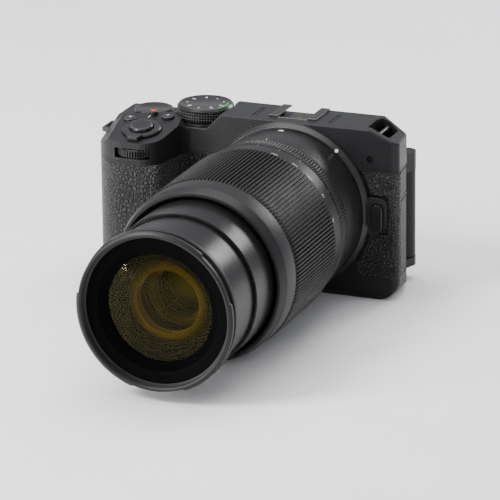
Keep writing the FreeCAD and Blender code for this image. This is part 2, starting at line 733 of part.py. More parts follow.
def build_mount():
    """The lens mount on the front: its bezel, metal ring, screws, contacts, pin and button."""
    y = dim.flange_y
    z = dim.axis_z
    bezel = new_body("mount_bezel", 0, y, z)
    turn(bezel, "Y", [
        (dim.mount_radius + 0.1, 0.4), (dim.mount_radius + 1.4, 0.4), (35.8, 2.4), (36, 3.98),
        (dim.mount_radius + 0.1, 3.98)])
    pad(bezel, "XZ", 2.4, 3.98, [
        (33.6, -8.4, 1), (39.6, -8.6, 1), (43.6, -4.6, 2), (43.6, 6.8, 2), (35.4, 7.6, 1)])
    cut(bezel, "XZ", -1, 6, (0, 0, dim.mount_radius + 0.1))
    x = dim.release_x
    drop = dim.release_z - dim.axis_z
    cut(bezel, "XZ", -1, 6, box(x - 2.75, x + 2.75, drop - 6.05, drop + 6.05, 2.45))

    ring = new_body("body_mount_ring", 0, y, z)
    turn(ring, "Y", [
        (dim.throat_radius, 0.02), (dim.mount_radius, 0.02), (dim.mount_radius, 2.96),
        (dim.throat_radius, 2.96)])
    cut(ring, "XZ", -1, 4, (30.2, 0, 1.5))
    cut(ring, "XZ", -1, 4, *[(x, place - z, 0.75) for x, place in mount_screw_places()])
    cut(ring, "XZ", -1, 0.9, *[(x, place - z, 1.7) for x, place in mount_screw_places()])

    screws = new_body("screws")
    pad(screws, "XZ", y + 0.25, y + 0.88, *[(x, place, 1.6) for x, place in mount_screw_places()])
    pad(screws, "XZ", y + 0.85, y + 6, *[(x, place, 0.7) for x, place in mount_screw_places()])
    pad(screws, "XY", 0.3, dim.base_z - 0.1, *[(x, place, 1.6) for x, place in base_screws()])

    button = new_body("lens_release_button")
    pad(button, "XZ", dim.front_y - 3.2, dim.front_y + 2.4, release_outline(0))
    soften(button, 0.5, lambda edge: edge.BoundBox.YMax < -19)
    pin = new_body("lens_lock_pin")
    pad(pin, "XZ", y - 1.2, y + 6, (30.2, z, 1.4))


def mount_screw_places():
    """The four screws of the mount ring."""
    places = []
    for angle in (45, 135, 225, 315):
        turned = math.radians(angle)
        places.append((30.2 * math.cos(turned), dim.axis_z + 30.2 * math.sin(turned)))
    return places


# ---------------------------------------------------------------- the lens


def lens_body(name):
    """A body on the lens axis whose own Y runs back from the flange."""
    return new_body(name, 0, dim.flange_y, dim.axis_z)


def tube(name, inner, outer, front, back):
    """A plain tube of the lens, between two distances in front of the flange."""
    body = lens_body(name)
    turn(body, "Y", [(inner, -front), (outer, -front), (outer, -back), (inner, -back)])
    return body


def build_lens_back():
    """What stays still: the bayonet, the rear barrel, the guide tube and the inner cells."""
    bayonet = lens_body("lens_bayonet")
    turn(bayonet, "Y", [
        (22, -2), (dim.mount_radius - 0.2, -2), (dim.mount_radius - 0.2, 0),
        (25.6, 0), (25.6, 5.4), (22, 5.4)])
    tab = pad(bayonet, "XZ", 3.3, 5.2, box(-6, 6, 24, 26.8))
    around(bayonet, tab, "Y", 3)
    cut(bayonet, "XZ", -1.8, 1, (30.2, 0, 1.6))

    barrel = lens_body("lens_rear_barrel")
    neck = dim.control_radius - 1.6
    turn(barrel, "Y", [
        (28.2, -88), (29.2, -88), (29.2, -16), (31.2, -16), (31.2, -40.5), (32.4, -40.5), (32.4, -27.4),
        (neck, -27.4), (neck, -19.7), (dim.barrel_radius, -19.7, 0.3), (dim.barrel_radius, -14),
        (dim.barrel_back_radius, -0.3), (dim.mount_radius - 0.1, -0.3), (dim.mount_radius - 0.1, -2.1),
        (26.6, -2.1), (26.6, -3.4), (28.2, -3.4)])
    cell = lens_body("rear_lens_cell")
    turn(cell, "Y", [
        (16.2, -12), (28, -12), (28, -9), (21.6, -9), (21.6, 3), (19.4, 3.6), (19.4, 1), (16.2, 1)])
    turn(cell, "Y", [(0, -6), (16.25, -5), (16.25, 0.8), (8, 1.9), (0, 2.2)])


def build_lens_rings():
    """The two rings that turn round the lens."""
    control = lens_body("control_ring")
    inner = dim.control_radius - 1.55
    turn(control, "Y", [
        (inner, -dim.control_back), (dim.control_radius, -dim.control_back, 0.4),
        (dim.control_radius, -dim.control_front, 0.4), (inner, -dim.control_front)])

    zoom = lens_body("zoom_ring")
    opening = dim.zoom_opening
    base = dim.grip_ring_base
    edge = dim.grip_ring_radius - 0.5
    turn(zoom, "Y", [
        (32.46, -dim.zoom_back), (dim.scale_radius, -dim.zoom_back, 0.4),
        (dim.scale_radius, -dim.grip_ring_back + 2.5), (edge - 0.4, -dim.grip_ring_back + 1.2, 0.5),
        (edge - 0.4, -dim.grip_ring_back), (base, -dim.grip_ring_back),
        (base, -dim.grip_ring_front), (edge, -dim.grip_ring_front),
        (edge, -dim.zoom_front + 4, 2), (opening + 1.3, -dim.zoom_front, 0.4),
        (32.4, -dim.zoom_front + 3), (32.4, -44), (32.46, -44)])
    rubber = lens_body("zoom_ring_rubber")
    turn(rubber, "Y", [
        (base + 0.02, -dim.grip_ring_front + 0.1), (dim.grip_ring_radius, -dim.grip_ring_front + 0.1, 0.3),
        (dim.grip_ring_radius, -dim.grip_ring_back - 0.1, 0.3), (base + 0.02, -dim.grip_ring_back - 0.1)])


def build_lens_front():
    """The two tubes that slide out, and the glass in the front one."""
    front = dim.middle_front
    middle = lens_body("intermediate_tube")
    turn(middle, "Y", [
        (31.0, -front), (dim.middle_radius, -front, 0.3), (dim.middle_radius, dim.middle_length - front),
        (31.0, dim.middle_length - front)])

    tube("front_tube", 29.5, dim.front_tube_radius, dim.rim_front - dim.rim_depth - 0.02,
         dim.rim_front - dim.front_tube_length)

    rim = lens_body("front_rim")
    face = -dim.rim_front
    shelf = dim.filter_radius - 0.9
    turn(rim, "Y", [
        (dim.filter_radius, face), (dim.rim_radius - 0.6, face), (dim.rim_radius, face + 0.6),
        (dim.rim_radius, face + 2.6), (dim.rim_radius - 0.9, face + 2.6), (dim.rim_radius - 0.9, face + 4),
        (dim.rim_radius, face + 4), (dim.rim_radius, face + dim.rim_depth, 0.5),
        (28.6, face + dim.rim_depth), (28.6, face + 5), (shelf, face + 5),
        (shelf, face + dim.filter_depth), (dim.filter_radius, face + dim.filter_depth)])

    name_ring = lens_body("front_ring")
    glass = dim.glass_radius
    turn(name_ring, "Y", [
        (shelf - 0.1, face + 3.3), (shelf - 0.1, face + 4.9), (28.4, face + 4.9),
        (28.4, face + 16), (glass - 1, face + 20), (glass - 1, face + 9.1), (glass + 0.1, face + 9.1),
        (glass + 0.1, face + 6.4), (25.2, face + 4.6), (25.2, face + 4.2), (29.2, face + 3.3)])
    element = lens_body("front_glass")
    turn(element, "Y", [
        (0, face + 3.9), (glass * 0.35, face + 4.2), (glass * 0.7, face + 5.1), (glass, face + 6.8),
        (glass, face + 9), (0, face + 9)])


# ---------------------------------------------------------------- controls


def build_shutter_controls():
    """The shutter button and the power switch round it, tipped with the grip's top."""
    place = (dim.shutter_x, dim.shutter_y, grip_top_z(dim.shutter_y), dim.grip_tilt)
    button = new_body("shutter_button", *place)
    radius = dim.shutter_radius
    turn(button, "Z", [
        (0, -2.2), (radius, -2.2), (radius, 2.1), (radius - 0.5, 2.7), (radius * 0.5, 2.65), (0, 2.6)])
    switch = new_body("power_switch", *place)
    turn(switch, "Z", [
        (radius + 0.25, -1), (dim.switch_radius, -1), (dim.switch_radius, 0.9),
        (dim.switch_radius - 0.6, 1.5), (radius + 0.9, 1.5), (radius + 0.25, 1.1)])
    pad(switch, "XY", 0.35, 2.0, [
        (-3.4, -dim.switch_radius + 0.9), (-2.4, -dim.switch_radius - 2.2, 0.9),
        (2.4, -dim.switch_radius - 2.2, 0.9), (3.4, -dim.switch_radius + 0.9)])


def small_button(name, x, y, z, radius, length):
    """A round button on the top with a softly domed cap."""
    body = new_body(name, x, y, z)
    turn(body, "Z", [
        (0, -length), (radius, -length), (radius, -0.35),
        (radius - 0.35, 0), (radius * 0.5, 0.12), (0, 0.16)])
    return body


def build_top_controls():
    """The buttons and dials on the top."""
    small_button("iso_button", dim.iso_x, dim.iso_y, grip_top_z(dim.iso_y) + 1.1, dim.small_radius, 6)
    small_button("exposure_button", dim.exposure_x, dim.exposure_y, grip_top_z(dim.exposure_y) + 1.1,
                 dim.small_radius, 6)
    small_button("movie_button", dim.movie_x, dim.movie_y, grip_top_z(dim.movie_y) + 1.85,
                 dim.movie_radius, 6)

    top = dim.mode_top_z - dim.seat_z
    mode = new_body("mode_dial", dim.mode_x, dim.mode_y, dim.seat_z)
    radius = dim.mode_radius
    turn(mode, "Z", [
        (0, -5), (dim.mode_shaft_radius, -5), (dim.mode_shaft_radius, 1.6), (radius, 1.6, 0.4),
        (radius, top - 1.0), (radius - 0.8, top, 0.3), (radius - 1.8, top), (radius - 2.2, top - 0.25),
        (0, top - 0.25)])
    lever = new_body("photo_video_lever", dim.mode_x, dim.mode_y, dim.seat_z)
    turn(lever, "Z", [(3.4, 0.2), (dim.lever_radius, 0.2), (dim.lever_radius, 1.35), (3.4, 1.35)])
    reach = dim.lever_radius + 1.7
    root = dim.lever_radius - 0.4
    pad(lever, "XY", 0.65, 2.6, [
        (-reach, 1.5, 0.7), (-reach, -1.5, 0.7), (-root, -2.6), (-root, 2.6)])

    radius = dim.main_dial_radius
    main = new_body("main_command_dial", dim.main_dial_x, dim.main_dial_y, dim.shoulder_z)
    turn(main, "Z", [
        (0, -5), (2, -5), (2, -3.1), (radius, -3.1), (radius, 2.5), (radius - 0.6, 3.1, 0.2),
        (radius - 2.2, 3.1), (radius - 2.8, 2.8), (0, 2.8)])
    sub = new_body("sub_command_dial", dim.sub_dial_x, dim.sub_dial_y, dim.sub_dial_z)
    radius = dim.sub_dial_radius
    height = dim.sub_dial_height
    turn(sub, "Z", [
        (0, -1), (1.5, -1), (1.5, 0), (radius - 0.5, 0), (radius, 0.5), (radius, height - 0.5),
        (radius - 0.5, height), (1.5, height), (1.5, height + 0.45), (0, height + 0.45)])


def build_top_fittings():
    """The hot shoe, the microphones, the strap lugs and the focus-assist lamp."""
    shoe = new_body("hot_shoe", 0, dim.shoe_front_y, dim.deck_z)
    half = dim.shoe_width * 0.5 - 0.1
    slot = dim.shoe_slot * 0.5
    mouth = dim.shoe_mouth * 0.5
    pad(shoe, "XZ", 0.1, dim.shoe_length, [
        (-half, -2.88), (half, -2.88), (half, 0.8, 0.3), (mouth, 0.8, 0.3), (mouth, 0.1), (slot, 0.1),
        (slot, -2.1), (-slot, -2.1), (-slot, 0.1), (-mouth, 0.1), (-mouth, 0.8, 0.3), (-half, 0.8, 0.3)])
    pad(shoe, "XZ", 0.1, 1.1, box(-slot - 0.1, slot + 0.1, -2.2, 0.1))

    grilles = new_body("microphone_grilles", 0, 0, dim.deck_z)
    for side in (-1, 1):
        x = dim.microphone_x * side
        pad(grilles, "XY", -0.95, -0.2, box(x - 0.9, x + 0.9, -12.5, -0.7, 0.8))
    lugs = new_body("strap_lugs")
    left = dim.body_left
    pad(lugs, "XY", dim.lug_z - 0.9, dim.lug_z + 0.9, [
        (left - 0.02, -20), (left - 0.02, -6), (left - 3.8, -7.6, 1.6), (left - 3.8, -18.4, 1.6)],
        [(left - 1, -17), (left - 1, -9), (left - 2.6, -9.4), (left - 2.6, -16.6)])
    pad(lugs, "XZ", -12.4, 1.0, (37.8, 69.6, 0.9))
    lamp = new_body("assist_lamp")
    pad(lamp, "XZ", dim.front_y + 0.3, dim.front_y + 2.4, (35.8, 60.4, 1.4))


def build_front_buttons():
    """The two buttons between the grip and the mount."""
    for name, z in (("upper_front_button", dim.axis_z + 10), ("lower_front_button", dim.axis_z - 1)):
        body = new_body(name, -41.2, dim.front_y, z)
        turn(body, "Y", [(0, -1.0), (2.4, -0.9), (3.2, -0.4), (3.2, 2.6), (0, 2.6)])


def build_back_controls():
    """The buttons, the selector and the thumb rest on the back."""
    for name, (x, z, radius) in rear_buttons().items():
        body = new_body(name, x, dim.panel_y, z)
        turn(body, "Y", [
            (0, 0.95), (radius * 0.5, 0.9), (radius - 0.3, 0.7), (radius, 0.4), (radius, -3), (0, -3)])
    radius = dim.selector_radius
    selector = new_body("multi_selector", dim.selector_x, dim.panel_y, dim.selector_z)
    turn(selector, "Y", [
        (4.2, -3), (4.2, 0.6), (4.8, 1.0), (radius - 1.2, 1.5), (radius, 1.0), (radius, -3)])
    button = new_body("ok_button", dim.selector_x, dim.panel_y, dim.selector_z)
    turn(button, "Y", [(0, -3), (0, 1.1), (3.2, 1.1), (4, 0.8), (4, -3)])
    rest = new_body("thumb_rest")
    pad(rest, "XZ", dim.panel_y + 0.02, dim.panel_y + 3, box(-72, -56.5, 43.5, 54.5, 3))
    soften(rest, 1.2, lambda edge: edge.BoundBox.YMin > 16.9)


def build_screen():
    """The screen, the arm that it swings on and its glass."""
    x = dim.hinge_x
    y = dim.hinge_y
    arm = new_body("screen_arm")
    pad(arm, "XY", dim.arm_bottom_z, dim.arm_top_z, (x, y, dim.hinge_radius - 0.1))
    pad(arm, "XY", dim.arm_bottom_z + 2.5, dim.arm_top_z - 2.5, box(dim.screen_right - 4, x, y - 3, y + 3))
    pad(arm, "XY", dim.arm_bottom_z - 2.6, dim.arm_top_z + 2.6, (x, y, 1))

    left = dim.screen_left
    right = dim.screen_right
    panel = new_body("screen_panel")
    pad(panel, "XZ", dim.screen_front_y, dim.screen_back_y,
        box(left, right, dim.screen_bottom, dim.screen_top, 2.5))
    soften(panel, 0.8, lambda edge: edge.BoundBox.YLength < 0.01)
    cut(panel, "XZ", y - 3.15, y + 3.15,
        box(right - 4.1, right + 3, dim.arm_bottom_z + 2.35, dim.arm_top_z - 2.35))
    cut(panel, "XZ", dim.screen_back_y - 0.9, dim.screen_back_y + 1,
        box(left + 2.9, right - 2.9, dim.screen_bottom + 2.4, dim.screen_top - 2.4, 1))
    glass = new_body("screen_glass")
    pad(glass, "XZ", dim.screen_back_y - 0.88, dim.screen_back_y + 0.05,
        box(left + 3, right - 3, dim.screen_bottom + 2.5, dim.screen_top - 2.5, 0.9))


def build_ports():
    """The two rubber covers on the side, and the sockets behind them."""
    run = dim.split_y - dim.front_y - 3
    swing = math.degrees(math.atan2((dim.body_right - dim.side_back_x).value, run.value))
    for name, bottom, top in (("microphone_port_cover", 43.8, 55.0), ("data_port_cover", 9.8, 42.2)):
        cover = new_body(name, dim.body_right, dim.front_y + 3, 0, 0, swing)
        pad(cover, "XY", bottom, top, box(-1.5, 0.02, 0.25, 11.4, 0.3))
    sockets = new_body("port_sockets", dim.body_right, dim.front_y + 3, 0, 0, swing)
    pad(sockets, "YZ", -11, -3.6, box(3.4, 8.6, 44.4, 52.4), box(3.2, 8.8, 28, 38), box(3.2, 8.8, 13, 22))
    cut(sockets, "YZ", -9, -3, (6, 49, 1.75), box(4.4, 7.6, 28.6, 37.4, 1.4), box(4.6, 7.4, 14, 21, 1))


# ---------------------------------------------------------------- the whole camera


def build_all():
    """Builds every piece."""
    build_top_cover()
    build_front_cover()
    build_skins()
    build_rear_cover()
    build_base()
    build_frame()
    build_mount()
    build_lens_back()
    build_lens_rings()
    build_lens_front()
    build_shutter_controls()
    build_top_controls()
    build_top_fittings()
    build_front_buttons()
    build_back_controls()
    build_screen()
    build_ports()


def check_and_write():
    """Stops if any object failed; otherwise writes one file for each body."""
    doc.recompute()
    for item in doc.Objects:
        if "Invalid" in item.State or "Error" in item.State:
            raise RuntimeError("%s failed: %s" % (item.Label, item.State))
    bodies = [item for item in doc.Objects if item.TypeId == "PartDesign::Body"]
    os.makedirs("parts", exist_ok=True)
    for body in bodies:
        shape = body.Shape
        if shape.isNull() or not shape.isValid() or not shape.Solids:
            raise RuntimeError("%s has no valid shape" % body.Label)
        shape.exportStep("parts/%s.step" % body.Label)
    print("%d sub-parts written" % len(bodies))


build_all()
check_and_write()
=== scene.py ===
import json
import math

import bmesh
import bpy
from mathutils import Matrix, Vector

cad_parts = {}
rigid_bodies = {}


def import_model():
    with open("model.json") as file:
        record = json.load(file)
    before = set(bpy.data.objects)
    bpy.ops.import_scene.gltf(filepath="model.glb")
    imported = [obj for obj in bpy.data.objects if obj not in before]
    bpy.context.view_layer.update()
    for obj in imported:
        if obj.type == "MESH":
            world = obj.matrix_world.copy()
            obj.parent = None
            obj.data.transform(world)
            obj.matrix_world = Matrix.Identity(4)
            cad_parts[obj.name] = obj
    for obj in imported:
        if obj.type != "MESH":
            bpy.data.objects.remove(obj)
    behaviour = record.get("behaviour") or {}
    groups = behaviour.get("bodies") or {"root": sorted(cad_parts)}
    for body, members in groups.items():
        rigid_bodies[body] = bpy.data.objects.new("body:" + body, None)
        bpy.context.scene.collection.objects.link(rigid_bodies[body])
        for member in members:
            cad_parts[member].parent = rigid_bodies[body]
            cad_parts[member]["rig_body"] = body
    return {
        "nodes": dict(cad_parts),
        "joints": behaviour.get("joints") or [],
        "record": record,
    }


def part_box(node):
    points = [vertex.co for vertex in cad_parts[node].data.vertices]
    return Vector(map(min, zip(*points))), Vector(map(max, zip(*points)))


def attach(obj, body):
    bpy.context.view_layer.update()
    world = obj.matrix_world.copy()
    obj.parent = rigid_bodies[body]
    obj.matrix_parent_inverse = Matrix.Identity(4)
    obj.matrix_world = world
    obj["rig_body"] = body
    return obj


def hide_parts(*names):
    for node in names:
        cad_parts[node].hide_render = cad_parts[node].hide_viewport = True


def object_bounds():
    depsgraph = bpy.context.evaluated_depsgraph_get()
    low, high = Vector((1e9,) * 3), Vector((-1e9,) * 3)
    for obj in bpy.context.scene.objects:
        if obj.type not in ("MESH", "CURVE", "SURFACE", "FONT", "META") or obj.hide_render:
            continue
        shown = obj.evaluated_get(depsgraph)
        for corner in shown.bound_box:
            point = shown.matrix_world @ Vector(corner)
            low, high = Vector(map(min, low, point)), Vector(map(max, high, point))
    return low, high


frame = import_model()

# The looks of a camera with an extended zoom lens. Lengths in the tables and calls are in millimetres
# and MM turns them into the frame's metres.

CAD_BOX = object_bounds()
MM = 0.001
NODES = frame["nodes"]
JOINTS = {joint["name"]: joint for joint in frame["joints"]}
SLOT_OF = {part["node"]: part["material_slot"] for part in frame["record"]["subparts"]}
REPLACED = set()

# The view: where the camera stands round the object, and how far to the side and up the picture's
# middle lies from the lens flange.
VIEW_AZIMUTH = math.radians(21.65)
VIEW_ELEVATION = math.radians(18.41)
VIEW_ROLL = math.radians(-0.56)
VIEW_DISTANCE = 1800
VIEW_ASIDE = -14.88
VIEW_UP = -17.79
VIEW_LENS = 311.6


def low(node):
    """A CAD node's lowest corner, in millimetres."""
    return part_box(node)[0] / MM


def high(node):
    """A CAD node's highest corner, in millimetres."""
    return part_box(node)[1] / MM


def joint_place(name):
    """Where a joint turns, in millimetres."""
    return Vector(JOINTS[name]["pos_m"]) / MM


AXIS_Z = joint_place("zoom_turn").z
FLANGE_Y = low("body_mount_ring").y
RIM_FACE = low("front_rim").y
RIM_RADIUS = high("front_rim").x
LENS = Vector((0, 0, AXIS_Z))

# The specular level of everything that isn't metal, and the radius that the painted amber reflections of the
# inner elements' coating span.
SHINE = 0.20
COATING_REFLECTION_REACH = 19

# What is read or counted on the lens and the dials. Angles are from the top, positive towards +X.
NOTCH_START = math.radians(38)
NOTCH_WIDTH = math.radians(40)
LENS_INDEX_TURN = math.radians(-2)
MOUNT_INDEX_TURN = math.radians(40)
FOCAL_MARKS = (("250", -2), ("200", 14), ("135", 30), ("100", 43), ("70", 58), ("50", 76))
ZOOM_RIBS = 146
CONTROL_KNURLS = 170
MODE_STUDS = 64
MODE_STUD_ROWS = 4
MODE_MARKS = ("1", "2", "3", "•", "–", "4", "5", "•", "6")
MAIN_DIAL_RIDGES = 48
SUB_DIAL_RIDGES = 44
STEPS_PER_RIDGE = 6
STEPS_PER_ZOOM_RIB = 7


# ------------------------------------------------------------------ materials


class Finish:
    """One material's nodes. Patterns are measured in millimetres in the row frame."""

    def __init__(self, name, colour, rough, metal=0.0):
        self.material = bpy.data.materials.new(name)
        self.material.use_nodes = True
        self.material.diffuse_color = (*colour, 1)
        self.tree = self.material.node_tree
        self.shader = self.tree.nodes["Principled BSDF"]
        self.shader.inputs["Metallic"].default_value = metal
        self.shader.inputs["Specular IOR Level"].default_value = 0.5 if metal else SHINE
        self.colour = colour
        self.rough = rough
        place = self.add("ShaderNodeTexCoord")
        self.spot = self.stretch(place.outputs["Object"], (1000, 1000, 1000))

    def add(self, kind, **settings):
        node = self.tree.nodes.new(kind)
        for key, value in settings.items():
            setattr(node, key, value)
        return node

    def join(self, start, end):
        self.tree.links.new(start, end)

    def stretch(self, vector, scale):
        node = self.add("ShaderNodeMapping")
        node.inputs["Scale"].default_value = scale
        self.join(vector, node.inputs["Vector"])
        return node.outputs["Vector"]

    def noise(self, scale, detail=3.0, spot=None):
        node = self.add("ShaderNodeTexNoise")
        node.inputs["Scale"].default_value = scale
        node.inputs["Detail"].default_value = detail
        self.join(spot or self.spot, node.inputs["Vector"])
        return node.outputs["Fac"]

    def cells(self, scale, feature="DISTANCE_TO_EDGE", warp=0.0):
        """Voronoi cells, with their walls bent by a noise."""
        node = self.add("ShaderNodeTexVoronoi", feature=feature)
        node.inputs["Scale"].default_value = scale
        spot = self.spot
        if warp:
            bend = self.add("ShaderNodeTexNoise")
            bend.inputs["Scale"].default_value = scale * 0.7
            self.join(spot, bend.inputs["Vector"])
            shift = self.add("ShaderNodeVectorMath", operation="MULTIPLY_ADD")
            shift.inputs[1].default_value = (warp, warp, warp)
            self.join(bend.outputs["Color"], shift.inputs[0])
            self.join(spot, shift.inputs[2])
            spot = shift.outputs["Vector"]
        self.join(spot, node.inputs["Vector"])
        return node.outputs["Distance"]

    def between(self, value, start, end, low_end=0.0, high_end=1.0):
        node = self.add("ShaderNodeMapRange")
        for key, number in zip(("From Min", "From Max", "To Min", "To Max"), (start, end, low_end, high_end)):
            node.inputs[key].default_value = number
        self.join(value, node.inputs["Value"])
        return node.outputs["Result"]

    def sum(self, first, second, share):
        node = self.add("ShaderNodeMath", operation="MULTIPLY_ADD")
        node.inputs[1].default_value = share
        self.join(second, node.inputs[0])
        self.join(first, node.inputs[2])
        return node.outputs["Value"]

    def tint(self, value, *stops):
        """Colours the surface along a ramp of (position, colour)."""
        ramp = self.add("ShaderNodeValToRGB")
        elements = ramp.color_ramp.elements
        while len(elements) < len(stops):
            elements.new(0.5)
        for element, (position, colour) in zip(elements, stops):
            element.position = position
            element.color = (*colour, 1)
        self.join(value, ramp.inputs["Fac"])
        return ramp.outputs["Color"]

    def bump(self, height, depth, strength=1.0):
        node = self.add("ShaderNodeBump")
        node.inputs["Distance"].default_value = depth * MM
        node.inputs["Strength"].default_value = strength
        self.join(height, node.inputs["Height"])
        self.join(node.outputs["Normal"], self.shader.inputs["Normal"])

    def coat(self, weight, rough):
        self.shader.inputs["Coat Weight"].default_value = weight
        self.shader.inputs["Coat Roughness"].default_value = rough

    def lay(self, pattern, spread=0.25, rough_spread=0.08):
        """Varies the colour and the roughness with a pattern."""
        drift = self.noise(0.09, 2)
        value = self.sum(pattern, drift, 0.5)
        dark = [part * (1 - spread) for part in self.colour]
        light = [part * (1 + spread) for part in self.colour]
        colour = self.tint(value, (0.35, dark), (1.0, light))
        self.join(colour, self.shader.inputs["Base Color"])
        rough = self.between(value, 0.3, 1.1, self.rough - rough_spread, self.rough + rough_spread)
        self.join(rough, self.shader.inputs["Roughness"])
        return self


def spark_plastic(name, colour, rough, scale=3.2, depth=0.035, **words):
    """Plastic moulded against a spark-eroded tool, with a fine sandy grain."""
    finish = Finish(name, colour, rough)
    grain = finish.noise(scale, 4)
    finish.lay(grain, **words)
    finish.bump(grain, depth)
    return finish.material


def leather(name, colour, rough):
    """Rubber with a pebbled leather grain: pads between creases, with pores on the pads."""
    finish = Finish(name, colour, rough)
    pads = finish.between(finish.cells(0.62, warp=0.5), 0.0, 0.36)
    small = finish.between(finish.cells(1.3, warp=0.35), 0.0, 0.35)
    height = finish.sum(pads, small, 0.5)
    height = finish.sum(height, finish.noise(3, 3), 0.25)
    finish.lay(finish.between(height, 0.1, 1.5), spread=0.9, rough_spread=0.08)
    finish.bump(height, 1.1, 1.0)
    finish.shader.inputs["Specular IOR Level"].default_value = 0.4
    return finish.material


def turned(name, colour, rough, metal=0.0, lines=6.0, depth=0.012, shine=None, **words):
    """A satin surface with the fine lines that a lathe leaves round the lens axis."""
    finish = Finish(name, colour, rough, metal)
    rings = finish.noise(1.0, 2, finish.stretch(finish.spot, (0.15, lines, 0.15)))
    value = finish.sum(rings, finish.noise(1.5, 3), 0.3)
    finish.lay(finish.between(value, 0.2, 1.0), **words)
    finish.bump(value, depth)
    if shine is not None:
        finish.shader.inputs["Specular IOR Level"].default_value = shine
    return finish.material


def smooth(name, colour, rough, metal=0.0, coat=0.0, depth=0.006, **words):
    """A smooth moulded or painted surface with faint orange peel and handling marks."""
    finish = Finish(name, colour, rough, metal)
    peel = finish.noise(1.1, 3)
    finish.lay(peel, **words)
    finish.bump(peel, depth)
    if coat:
        finish.coat(coat, 0.08)
    return finish.material


def rib_rubber(name, colour, rough):
    """Matt rubber with a dusty bloom and moulding grain."""
    finish = Finish(name, colour, rough)
    bloom = finish.sum(finish.noise(4.5, 4), finish.noise(0.4, 2), 0.5)
    finish.lay(finish.between(bloom, 0.3, 1.1), spread=0.35, rough_spread=0.1)
    finish.bump(finish.noise(7, 3), 0.03)
    return finish.material


def clear_glass(name, colour, cover):
    """Coated glass: a dark, glossy skin that lets most of what lies behind it through."""
    finish = Finish(name, colour, 0.04)
    finish.shader.inputs["Alpha"].default_value = cover
    finish.shader.inputs["Specular IOR Level"].default_value = 0.3
    finish.shader.inputs["Specular Tint"].default_value = (1, 0.9, 0.4, 1)
    dust = finish.noise(2.5, 5)
    finish.join(finish.tint(dust, (0.3, colour), (1.0, [part * 1.8 for part in colour])),
                finish.shader.inputs["Base Color"])
    finish.join(finish.between(dust, 0.4, 0.9, 0.03, 0.09), finish.shader.inputs["Roughness"])
    return finish.material


def coated_element(name):
    """The surfaces deep in the lens: dark glass with the amber and olive reflections of its coating painted
    into its colour in rings by radius.
    """
    finish = Finish(name, (0.10, 0.075, 0.004), 0.12)
    centred = finish.stretch(finish.spot, (1, 0, 1))
    offset = finish.add("ShaderNodeVectorMath", operation="SUBTRACT")
    offset.inputs[1].default_value = (0, 0, AXIS_Z)
    finish.join(centred, offset.inputs[0])
    length = finish.add("ShaderNodeVectorMath", operation="LENGTH")
    finish.join(offset.outputs["Vector"], length.inputs[0])
    radius = finish.between(length.outputs["Value"], 0, COATING_REFLECTION_REACH)
    value = finish.sum(radius, finish.noise(0.25, 2), 0.12)
    # The ramp paints the coating's reflections: bright amber in the middle, then dark, amber and dark rings
    # outwards.
    colour = finish.tint(
        value, (0.0, (0.34, 0.25, 0.004)), (0.35, (0.25, 0.17, 0.003)), (0.55, (0.08, 0.07, 0.003)),
        (0.75, (0.15, 0.09, 0.003)), (1.0, (0.04, 0.03, 0.002)))
    finish.join(colour, finish.shader.inputs["Base Color"])
    finish.join(finish.between(finish.noise(2, 3), 0, 1, 0.25, 0.40), finish.shader.inputs["Roughness"])
    finish.shader.inputs["Specular IOR Level"].default_value = 0.12
    finish.shader.inputs["Specular Tint"].default_value = (1, 0.8, 0.1, 1)
    return finish.material


def circuit_board(name):
    """Green solder mask with tracks under it."""
    finish = Finish(name, (0.03, 0.16, 0.07), 0.35)
    tracks = finish.between(finish.cells(0.5, "F1"), 0.42, 0.5)
    finish.lay(tracks, spread=0.5)
    finish.bump(tracks, 0.04)
    finish.coat(0.5, 0.1)
    return finish.material


